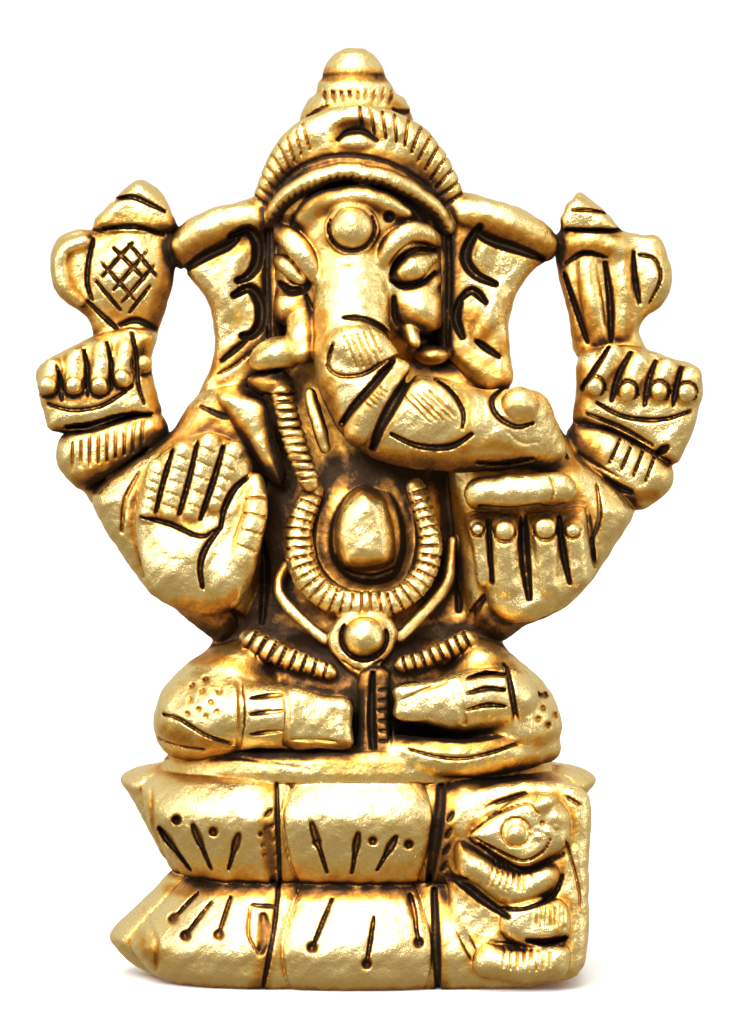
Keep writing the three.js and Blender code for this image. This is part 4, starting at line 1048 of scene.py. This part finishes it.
@sculpted
def ear_left(p):
    p.slab([(7.0, 64.6), (10.6, 64.5), (14.0, 63.3), (16.2, 61.4), (16.0, 60.0), (14.6, 59.0), (13.2, 57.4),
            (12.4, 55.2), (12.3, 52.6), (12.5, 49.6), (10.6, 48.6), (8.4, 50.4), (6.4, 53), (6.0, 58)],
           -3.9, 0.4, 1.2, 0.4)
    p.rope([(8.2, -3.6, 63.5, 1.2), (11.4, -3.8, 62.8, 1.45), (14.2, -3.3, 61.4, 1.4),
            (15.2, -2.4, 60.4, 0.9)], blend=0.35)
    p.rope([(10.4, -3.5, 60.4, 0.8), (10.0, -3.6, 59.4, 0.7)], blend=0.5)
    p.rope([(11.2, -3.4, 57.0, 0.8), (10.6, -3.6, 55.0, 0.9), (9.8, -3.5, 53.6, 0.8)], blend=0.6)
    p.rope([(7.8, -3.4, 52.4, 0.7), (9.8, -3.2, 51.0, 0.8), (11.8, -3.0, 50.0, 0.8)], blend=0.4)
    p.line([(15.0, 59.6), (12.8, 60.4), (10.6, 61.1), (9.6, 61.8)], 0.9, 0.6)
    p.line([(9.9, 62.2), (9.1, 61.0), (8.7, 59.6), (9.5, 58.3), (11.2, 57.5)], 0.95, 0.85)
    p.line([(8.3, 56.3), (9.3, 57.0), (10.4, 56.0)], 0.8, 0.75)
    p.line([(8.3, 56.3), (7.9, 54.8), (8.5, 53.2)], 0.9, 0.8)
    p.line([(9.6, 52.9), (10.6, 52.2), (11.5, 51.6)], 0.6, 0.6)
    p.shade_and_patina_wash([(15.4, 60.1), (12.8, 61.0), (9.8, 62.0)], 3.2, 0.5)
    p.shade_and_patina_wash([(9.0, 54.8), (10.4, 53.4), (11.6, 52.4)], 2.6, 0.38)
    p.line([(7.3, 63.2), (7.4, 58), (7.3, 52.4)], 0.7, 0.5)
    p.shade_and_patina_wash([(7.4, 63.4), (7.5, 58), (7.3, 52.2)], 1.6, 0.8)
    p.shade_and_patina_wash([(8.4, 61.0), (8.0, 57.6), (8.0, 54.2)], 1.8, 0.35)
    p.shade_and_patina_wash([(8.2, 52.4), (10.2, 51.2), (12.0, 50.2)], 1.0, 0.35)


@sculpted
def brow_band(p):
    route = [(-7.2, -4.2, 62.7, 0.7), (-6.2, -5.4, 64.2, 0.75), (-4.5, -6.4, 65.5, 0.75),
             (-1.4, -7.0, 66.5, 0.75), (2.2, -6.8, 66.0, 0.75), (5.0, -5.9, 64.6, 0.72),
             (6.5, -5.0, 63.3, 0.7), (7.2, -4.2, 62.2, 0.7)]
    p.rope(route, steps=5)
    p.ticks(front_view(route[:5], -0.45), 18, 0.6, 0.2, 0.16, 0.3)
    p.ticks(front_view(route[4:], -0.45), 10, 0.5, 0.2, 0.1, 0.3)
    p.shade_and_patina_wash(front_view(route, -0.6), 0.9, 0.4)


@sculpted
def crown_main(p):
    p.turned([(7.6, 61.6), (8.3, 63.2), (8.35, 64.8), (7.6, 66.8), (6.4, 68.8), (4.9, 70.3), (3.8, 71.2)],
             (0, -0.8), 0.76, 0)
    p.egg((0, -2.8, 67.6), (6.6, 4.2, 4.0), 0, 0.8)
    arch = [(-7.6, -3.4, 63.6, 0.9), (-7.1, -4.2, 65.6, 1.0), (-5.9, -4.9, 67.8, 1.1),
            (-3.9, -5.4, 69.7, 1.15), (-0.2, -5.6, 70.9, 1.15), (3.7, -5.4, 69.8, 1.15),
            (5.7, -4.9, 68.0, 1.1), (7.1, -4.2, 65.9, 1.0), (7.7, -3.4, 63.8, 0.9)]
    p.rope(arch, blend=1.6)
    p.egg((0.1, -8.0, 58.6), (7.2, 7.0, 7.9), 0, 0.3, cut=True)
    p.egg((-0.3, -7.6, 69.9), (2.0, 1.5, 1.1), 0, 0.3, cut=True)
    p.egg((-0.2, -6.4, 68.9), (1.5, 0.9, 0.8), 0, 0.2)
    p.line([(-1.7, 69.1), (-0.8, 69.8), (0.5, 69.8), (1.6, 69.0)], 0.4, 0.4)
    p.line([(-6.6, 65.2), (-4.6, 67.0), (-1.4, 67.9), (2.4, 67.3), (5.4, 65.6), (6.9, 64.0)], 0.4, 0.25)
    way = front_view(arch)
    p.ticks(way[:4], 9, 2.0, 0.26, 0.24, 0.5)
    p.ticks(way[4:], 12, 2.1, 0.3, 0.3, -0.4)
    p.shade_and_patina_wash([(-7.2, 64.4), (-4.7, 66.8), (-1.4, 67.9), (2.4, 67.4), (5.4, 65.8), (7.2, 63.8)], 2.0, 0.5)
    p.shade_and_patina_wash([(-2.0, 69.2), (-0.4, 70.2), (1.6, 69.4)], 1.3, 0.38)


@sculpted
def crown_ring(p):
    p.turned([(4.5, 70.2), (4.6, 71.0), (4.4, 71.8), (3.9, 72.6), (3.2, 73.1), (2.8, 73.7)], (-0.1, -0.8),
             0.8, 0)
    p.ticks([(-3.0, 72.7), (0, 73.1), (3.0, 72.7)], 9, 1.3, 0.28, 0.24)
    p.shade_and_patina_wash([(2.6, 72.4), (3.6, 71.8), (4.3, 71.0)], 1.0, 0.4)
    p.line([(-4.2, 71.0), (-3.2, 71.6), (-2.4, 72.0)], 0.3, 0.3)
    p.line([(4.2, 71.6), (3.4, 71.4), (2.8, 71.7)], 0.4, 0.35)


@sculpted
def crown_finial(p):
    p.turned([(3.0, 73.2), (2.95, 73.9), (2.6, 74.6), (2.35, 75.2), (2.1, 75.6), (1.5, 76.3), (0.8, 76.7),
              (0.2, 76.8)], (-0.35, -0.8), 0.86, 0)
    p.line([(-3.0, 74.3), (0, 74.2), (2.6, 74.3)], 1.2, 0.22)
    p.dot((1.5, 74.3), 0.35, 0.3)
    p.shade_and_patina_wash([(-2.6, 74.6), (0, 74.6), (2.4, 74.5)], 1.5, 0.5)


# ---- from fields to metal ----

SWELL_HEIGHT = 0.05
DENT_HEIGHT = 0.025


def hand_ripple(block):
    """The slight unevenness of metal modelled and filed by hand."""
    x, y, z = block.u, block.y, block.z
    swell = np.sin(1.7 * x + 1.1 * np.sin(0.9 * z)) * np.sin(1.9 * z + 0.7 * np.sin(1.3 * x + y))
    dents = np.sin(3.9 * x - 1.7 * z + 0.6 * y) * np.sin(3.1 * z + 1.9 * y)
    return SWELL_HEIGHT * swell + DENT_HEIGHT * dents


NOBODY = 255


def gather(pieces):
    """The nearest and second nearest piece at every grid place."""
    shape = tuple(len(axis) for axis in AXES)
    first = np.full(shape, FAR, np.float32)
    second = np.full(shape, FAR, np.float32)
    owner = np.full(shape, NOBODY, np.uint8)
    for number, piece in enumerate(pieces):
        window = piece.block.window
        a, b, own = first[window], second[window], owner[window]
        field = piece.field
        nearer = field < a
        second[window] = np.where(nearer, a, np.minimum(b, field))
        first[window] = np.where(nearer, field, a)
        owner[window] = np.where(nearer, np.uint8(number), own)
    return first, second, owner


CORNERS = np.array([(i, j, k) for i in (0, 1) for j in (0, 1) for k in (0, 1)])
EDGES = [(a, b) for a in range(8) for b in range(a + 1, 8)
         if np.abs(CORNERS[a] - CORNERS[b]).sum() == 1]


def surface_net(field, start):
    """Vertices in millimetres and quads of the zero surface of a field."""
    inside = field < 0
    n = np.array(field.shape) - 1
    count = np.zeros(tuple(n), np.uint8)
    for i, j, k in CORNERS:
        count += inside[i:n[0] + i, j:n[1] + j, k:n[2] + k]
    active = (count > 0) & (count < 8)
    cells = np.argwhere(active)
    values = np.stack([field[tuple((cells + c).T)] for c in CORNERS], axis=1)
    total = np.zeros((len(cells), 3), np.float32)
    crossings = np.zeros(len(cells), np.float32)
    for a, b in EDGES:
        va, vb = values[:, a], values[:, b]
        crosses = (va < 0) != (vb < 0)
        t = np.where(crosses, va / np.where(crosses, va - vb, 1), 0)
        place = CORNERS[a] + t[:, None] * (CORNERS[b] - CORNERS[a])
        total += place * crosses[:, None]
        crossings += crosses
    vertices = (cells + total / crossings[:, None] + np.array(start)) * VOXEL + GRID_LOW
    number = np.full(tuple(n), -1, np.int32)
    number[active] = np.arange(len(cells))
    quads = []
    for axis in range(3):
        other = [(axis + 1) % 3, (axis + 2) % 3]
        ahead = [slice(None)] * 3
        behind = [slice(None)] * 3
        ahead[axis], behind[axis] = slice(1, None), slice(None, -1)
        change = inside[tuple(ahead)].astype(np.int8) - inside[tuple(behind)].astype(np.int8)
        edges = np.argwhere(change)
        valid = (edges[:, other[0]] > 0) & (edges[:, other[1]] > 0)
        valid &= (edges[:, other[0]] < n[other[0]]) & (edges[:, other[1]] < n[other[1]])
        edges = edges[valid]
        sign = change[tuple(edges.T)]
        ring = []
        for da, db in ((0, 0), (1, 0), (1, 1), (0, 1)):
            cell = edges.copy()
            cell[:, other[0]] -= da
            cell[:, other[1]] -= db
            ring.append(number[tuple(cell.T)])
        ring = np.stack(ring, axis=1)
        ring[sign > 0] = ring[sign > 0][:, ::-1]
        quads.append(ring)
    quads = np.vstack(quads)
    return vertices, quads[(quads >= 0).all(axis=1)]


def relaxed(vertices, quads):
    """Each vertex drawn halfway to the middle of its neighbours, which evens out the grid's steps."""
    total = np.zeros_like(vertices)
    count = np.zeros(len(vertices))
    for near, far in ((0, 1), (1, 2), (2, 3), (3, 0)):
        for a, b in ((quads[:, near], quads[:, far]), (quads[:, far], quads[:, near])):
            count += np.bincount(a, minlength=len(vertices))
            for axis in range(3):
                total[:, axis] += np.bincount(a, vertices[b, axis], len(vertices))
    middle = np.where(count[:, None] > 0, total / count.clip(1)[:, None], vertices)
    return vertices * 0.5 + middle * 0.5


def sample(field, places):
    """A grid field read at places in millimetres, straight-line between grid values."""
    g = (places - GRID_LOW) / VOXEL
    g = np.clip(g, 0, np.array(field.shape) - 1.001)
    base = g.astype(np.int32)
    t = (g - base).astype(np.float32)
    result = np.zeros(len(places), np.float32)
    for corner in CORNERS:
        weight = np.where(corner, t, 1 - t).prod(axis=1)
        result += weight * field[tuple((base + corner).T)]
    return result


def outward(field, places):
    """The way out of the metal at each place, one unit long."""
    step = 0.8 * VOXEL
    slopes = []
    for axis in range(3):
        shift = np.zeros(3)
        shift[axis] = step
        slopes.append(sample(field, places + shift) - sample(field, places - shift))
    normal = np.stack(slopes, axis=1)
    return normal / (np.linalg.norm(normal, axis=1, keepdims=True) + TINY)


# How far out the metal is probed for shelter, in millimetres, and each probe's share. Sheltered metal is
# drawn darker: patina in the creases, and painted shade across the wider recesses.
SHELTER_PROBES = ((0.4, 0.30), (0.9, 0.32), (1.8, 0.30), (3.2, 0.20))
SHELTERED_PATINA_AND_SHADE = 1.08
# Painted shade: how much darker metal that faces downward is drawn.
UNDERSIDE_PAINTED_SHADE = 0.28
ENGRAVED_STAIN = 0.95
DEEPEST_STAIN = 0.6
STAIN_SPREAD = 1.25


def patina_and_shade_amount(whole, piece, places):
    """0 on open raised metal to 1 deep in a crease or an engraved line: patina in creases and lines, with
    painted shade in recesses, on undersides and along the washes.
    """
    normal = outward(whole, places)
    hidden = np.zeros(len(places), np.float32)
    for reach, share in SHELTER_PROBES:
        open_here = sample(whole, places + normal * reach)
        hidden += share * np.clip(1.0 - open_here / reach, 0, 1)
    # Painted shade on undersides.
    hidden += UNDERSIDE_PAINTED_SHADE * np.clip(-normal[:, 2], 0, 1)
    v = sight_height(places[:, 1], places[:, 2])
    engraved = np.clip(piece.drawing(places[:, 0], v, STAIN_SPREAD), 0, DEEPEST_STAIN)
    drawn = engraved * ENGRAVED_STAIN + piece.washed_shade_and_patina(places[:, 0], v)
    return np.clip(hidden * SHELTERED_PATINA_AND_SHADE + drawn * facing_front(places[:, 1]), 0, 1)


def cast_piece(whole, first, second, owner, number, piece):
    """The piece's own share of the metal, closed just under its neighbours' skin."""
    window = piece.block.window
    rival = np.where(owner[window] == number, second[window], first[window])
    lead = piece.field - rival
    dive = 0.5 * VOXEL * np.clip(lead / SEAM, 0, 1)
    own = np.maximum(whole[window] + dive, lead - SEAM)
    vertices, quads = surface_net(own, piece.block.start)
    vertices = relaxed(vertices, quads)
    shade = patina_and_shade_amount(whole, piece, vertices)
    name = "brass_" + piece.nodes[0]
    mesh = bpy.data.meshes.new(name)
    in_metres = (vertices + ORIGIN) * MM
    mesh.vertices.add(len(in_metres))
    mesh.vertices.foreach_set("co", in_metres.astype(np.float32).ravel())
    mesh.loops.add(quads.size)
    mesh.loops.foreach_set("vertex_index", quads.astype(np.int32).ravel())
    mesh.polygons.add(len(quads))
    mesh.polygons.foreach_set("loop_start", np.arange(0, quads.size, 4, dtype=np.int32))
    mesh.update(calc_edges=True)
    mesh.validate()
    mesh.shade_smooth()
    layer = mesh.attributes.new("patina_and_shade", "FLOAT", "POINT")
    layer.data.foreach_set("value", shade.astype(np.float32))
    obj = bpy.data.objects.new(name, mesh)
    bpy.context.scene.collection.objects.link(obj)
    return obj


# ---- materials ----

class Shader:
    """A small helper that adds nodes to one material and joins them up."""

    def __init__(self, name):
        self.material = bpy.data.materials.new(name)
        self.material.use_nodes = True
        self.tree = self.material.node_tree
        self.surface = self.tree.nodes["Principled BSDF"]

    def add(self, kind, **inputs):
        node = self.tree.nodes.new(kind)
        for key, value in inputs.items():
            node.inputs[key].default_value = value
        return node

    def link(self, output, socket):
        self.tree.links.new(output, socket)

    def maths(self, operation, *values, clamp=False):
        node = self.add("ShaderNodeMath")
        node.operation = operation
        node.use_clamp = clamp
        for socket, value in zip(node.inputs, values):
            if isinstance(value, (int, float)):
                socket.default_value = value
            else:
                self.link(value, socket)
        return node.outputs[0]

    def noise(self, size_mm, detail=3.0, roughness=0.55):
        where = self.add("ShaderNodeTexCoord")
        node = self.add("ShaderNodeTexNoise", Scale=1000 / size_mm, Detail=detail, Roughness=roughness)
        self.link(where.outputs["Object"], node.inputs["Vector"])
        return node.outputs["Fac"]

    def ramp(self, value, stops):
        node = self.add("ShaderNodeValToRGB")
        elements = node.color_ramp.elements
        while len(elements) < len(stops):
            elements.new(0.5)
        for element, (place, colour) in zip(elements, stops):
            element.position = place
            element.color = (*colour, 1)
        self.link(value, node.inputs["Fac"])
        return node.outputs["Color"]


# The ramp from rubbed metal through patina to black, driven by the patina and painted shade attribute.
PALE_GOLD = (0.95, 0.80, 0.41)
GOLD = (0.83, 0.62, 0.22)
AMBER = (0.65, 0.32, 0.052)
BROWN = (0.30, 0.135, 0.038)
DARKEST_PATINA_AND_SHADE = (0.055, 0.034, 0.020)
PATINA_AND_SHADE_STOPS = [(0.0, PALE_GOLD), (0.24, GOLD), (0.46, AMBER), (0.70, BROWN), (0.95, DARKEST_PATINA_AND_SHADE)]
BLOTCH_SIZE = 2.4
BLOTCH_STAIN = 0.6
SPECK_SIZE = 0.35
SPECK_STAIN = 0.34
CLEAN_ROUGHNESS = 0.25
PATINA_AND_SHADE_ROUGHNESS = 0.38
SPECK_ROUGHNESS = 0.25
SCRATCH_SIZE = 0.45
DIMPLE_SIZE = 1.6
DIMPLE_SHARE = 1.5
BUMP_STRENGTH = 0.65
BUMP_DISTANCE = 0.14 * MM


def brass_with_patina_and_shade(name, darkening):
    """Brass rubbed bright on its high places with dark patina left in its hollows, plus the attribute's
    painted shade and the finish's darkening.
    """
    s = Shader(name)
    patina_and_shade = s.add("ShaderNodeAttribute")
    patina_and_shade.attribute_name = "patina_and_shade"
    blotch = s.maths("SUBTRACT", s.noise(BLOTCH_SIZE, 4.0, 0.6), 0.5)
    speck = s.maths("SUBTRACT", s.noise(SPECK_SIZE, 3.0, 0.6), 0.5)
    patina_shade_and_stain = s.maths("ADD", patina_and_shade.outputs["Fac"], s.maths("MULTIPLY", blotch, BLOTCH_STAIN))
    patina_shade_and_stain = s.maths("ADD", patina_shade_and_stain, s.maths("MULTIPLY", speck, SPECK_STAIN))
    patina_shade_and_stain = s.maths("ADD", patina_shade_and_stain, darkening, clamp=True)
    s.link(s.ramp(patina_shade_and_stain, PATINA_AND_SHADE_STOPS), s.surface.inputs["Base Color"])
    rough = s.maths("ADD", s.maths("MULTIPLY", patina_shade_and_stain, PATINA_AND_SHADE_ROUGHNESS), CLEAN_ROUGHNESS)
    rough = s.maths("ADD", rough, s.maths("MULTIPLY", speck, SPECK_ROUGHNESS), clamp=True)
    s.link(rough, s.surface.inputs["Roughness"])
    s.surface.inputs["Metallic"].default_value = 1.0
    dimples = s.maths("MULTIPLY", s.noise(DIMPLE_SIZE, 2.0), DIMPLE_SHARE)
    grain = s.maths("ADD", s.noise(SCRATCH_SIZE, 4.0, 0.7), dimples)
    bump = s.add("ShaderNodeBump", Strength=BUMP_STRENGTH, Distance=BUMP_DISTANCE)
    s.link(grain, bump.inputs["Height"])
    s.link(bump.outputs["Normal"], s.surface.inputs["Normal"])
    return s.material


FLOOR_WHITE = (0.9, 0.9, 0.9, 1)
FLOOR_ROUGHNESS = 0.9


def floor_material():
    s = Shader("studio_white")
    s.surface.inputs["Base Color"].default_value = FLOOR_WHITE
    s.surface.inputs["Roughness"].default_value = FLOOR_ROUGHNESS
    return s.material


# How far each finish shifts the brass ramp towards dark; the darkest finish is painted shade.
FINISH_DARKENING = {"brass_polished": 0.0, "brass_toned": 0.05, "brass_darkened": 0.16}
TONED = {"trunk_sweet", "tusk_right", "tusk_left", "tilak_bead", "brow_band", "crown_ring",
         "shoulder_knob", "sash_end", "sacred_cord", "pendant", "belly", "waist_belt_right",
         "waist_belt_left", "lap_cloth", "rear_right_bracelet", "rear_left_bracelet",
         "rear_right_attribute", "rear_left_attribute", "seat_drape"}
# Pieces set back behind or between others get the darkest finish, as painted shade.
SHADED_PIECES = {"dhoti_fold", "rear_right_arm", "rear_left_arm", "torso"}


def cast_all():
    """Joins the pieces' fields into one, then meshes each piece's share of it."""
    for piece in PIECES:
        piece.build()
    first, second, owner = gather(PIECES)
    whole = soft_min(first, second, CREASE)
    everywhere = Block(GRID_LOW, GRID_HIGH)
    whole += hand_ripple(everywhere)
    whole = np.maximum(whole, -everywhere.z)
    finishes = {name: brass_with_patina_and_shade(name, darkening) for name, darkening in FINISH_DARKENING.items()}
    for number, piece in enumerate(PIECES):
        obj = cast_piece(whole, first, second, owner, number, piece)
        node = piece.nodes[0]
        slot = "brass_polished"
        if node in TONED:
            slot = "brass_toned"
        if node in SHADED_PIECES:
            slot = "brass_darkened"
        obj.data.materials.append(finishes[slot])
        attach(obj, "root")
        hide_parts(*piece.nodes)


# ---- studio ----

# The studio is laid out in metres.
FLOOR_HALF = 3.0
IDOL_MIDDLE = 0.038


def floor():
    """A pale floor, kept out of the metal's reflections."""
    mesh = bpy.data.meshes.new("studio_floor")
    corners = [(x * FLOOR_HALF, y * FLOOR_HALF, 0) for x, y in ((-1, -1), (1, -1), (1, 1), (-1, 1))]
    mesh.from_pydata(corners, [], [(0, 1, 2, 3)])
    mesh.materials.append(floor_material())
    obj = bpy.data.objects.new("studio_floor", mesh)
    bpy.context.scene.collection.objects.link(obj)
    obj.visible_glossy = False


def softbox(name, place, size, brightness):
    """A rectangular light aimed at the idol, in metres; brightness is how bright its face looks."""
    light = bpy.data.lights.new(name, "AREA")
    light.shape = "RECTANGLE"
    light.size, light.size_y = size
    light.energy = brightness * math.pi * size[0] * size[1]
    obj = bpy.data.objects.new(name, light)
    obj.location = place
    toward = Vector((0, 0, IDOL_MIDDLE)) - Vector(place)
    obj.rotation_euler = toward.to_track_quat("-Z", "Y").to_euler()
    bpy.context.scene.collection.objects.link(obj)


ROOM_WHITE = (1.1, 1.1, 1.1, 1)
ROOM_LOW = (0.36, 0.28, 0.18, 1)
ROOM_HIGH = (0.80, 0.71, 0.55, 1)
# The upward part of the directions where the low colour ends and the high one is reached.
ROOM_LOW_SLOPE = -0.7
ROOM_HIGH_SLOPE = 0.4


def world_light():
    """Even white light on the floor, and dimmer warm surroundings for the metal to mirror."""
    world = bpy.data.worlds.new("studio_world")
    world.use_nodes = True
    tree = world.node_tree
    direction = tree.nodes.new("ShaderNodeTexCoord")
    split = tree.nodes.new("ShaderNodeSeparateXYZ")
    tree.links.new(direction.outputs["Generated"], split.inputs["Vector"])
    height = tree.nodes.new("ShaderNodeMapRange")
    height.inputs["From Min"].default_value = ROOM_LOW_SLOPE
    height.inputs["From Max"].default_value = ROOM_HIGH_SLOPE
    tree.links.new(split.outputs["Z"], height.inputs["Value"])
    room = tree.nodes.new("ShaderNodeMixRGB")
    room.inputs["Color1"].default_value = ROOM_LOW
    room.inputs["Color2"].default_value = ROOM_HIGH
    tree.links.new(height.outputs["Result"], room.inputs["Fac"])
    rays = tree.nodes.new("ShaderNodeLightPath")
    pick = tree.nodes.new("ShaderNodeMixRGB")
    pick.inputs["Color1"].default_value = ROOM_WHITE
    tree.links.new(room.outputs["Color"], pick.inputs["Color2"])
    tree.links.new(rays.outputs["Is Glossy Ray"], pick.inputs["Fac"])
    tree.links.new(pick.outputs["Color"], tree.nodes["Background"].inputs["Color"])
    bpy.context.scene.world = world


def studio():
    floor()
    world_light()
    softbox("key", (-0.16, -0.72, 0.42), (0.42, 0.30), 17.0)
    softbox("top", (-0.08, -0.38, 0.78), (0.60, 0.50), 5.8)
    softbox("left", (-0.70, -0.35, 0.20), (0.25, 0.50), 3.8)
    softbox("right", (0.75, -0.30, 0.15), (0.20, 0.50), 3.0)
    bpy.context.scene.view_settings.view_transform = "Standard"


# Millimetres: how much of the sight plane the picture takes in, and the (u, v) of its middle.
PICTURE_HEIGHT = 83.25
PICTURE_MIDDLE = (0.53, 39.0)
CAMERA_DISTANCE = 1.0
FOCUS_DEPTH = -5.0


def camera():
    """Looks along the photograph's line of sight, from CAMERA_DISTANCE metres away."""
    data = bpy.data.cameras.new("camera")
    data.lens = data.sensor_width * CAMERA_DISTANCE / (PICTURE_HEIGHT * MM)
    data.clip_end = 20
    middle = [PICTURE_MIDDLE[0], FOCUS_DEPTH, true_height(FOCUS_DEPTH, PICTURE_MIDDLE[1])]
    target = Vector((np.array(middle) + ORIGIN) * MM)
    obj = bpy.data.objects.new("camera", data)
    obj.location = target + Vector((0, -SIGHT_COS, SIGHT_SIN)) * CAMERA_DISTANCE
    obj.rotation_euler = (math.pi / 2 - SIGHT_ANGLE, 0, 0)
    bpy.context.scene.collection.objects.link(obj)
    bpy.context.scene.camera = obj


cast_all()
studio()
camera()
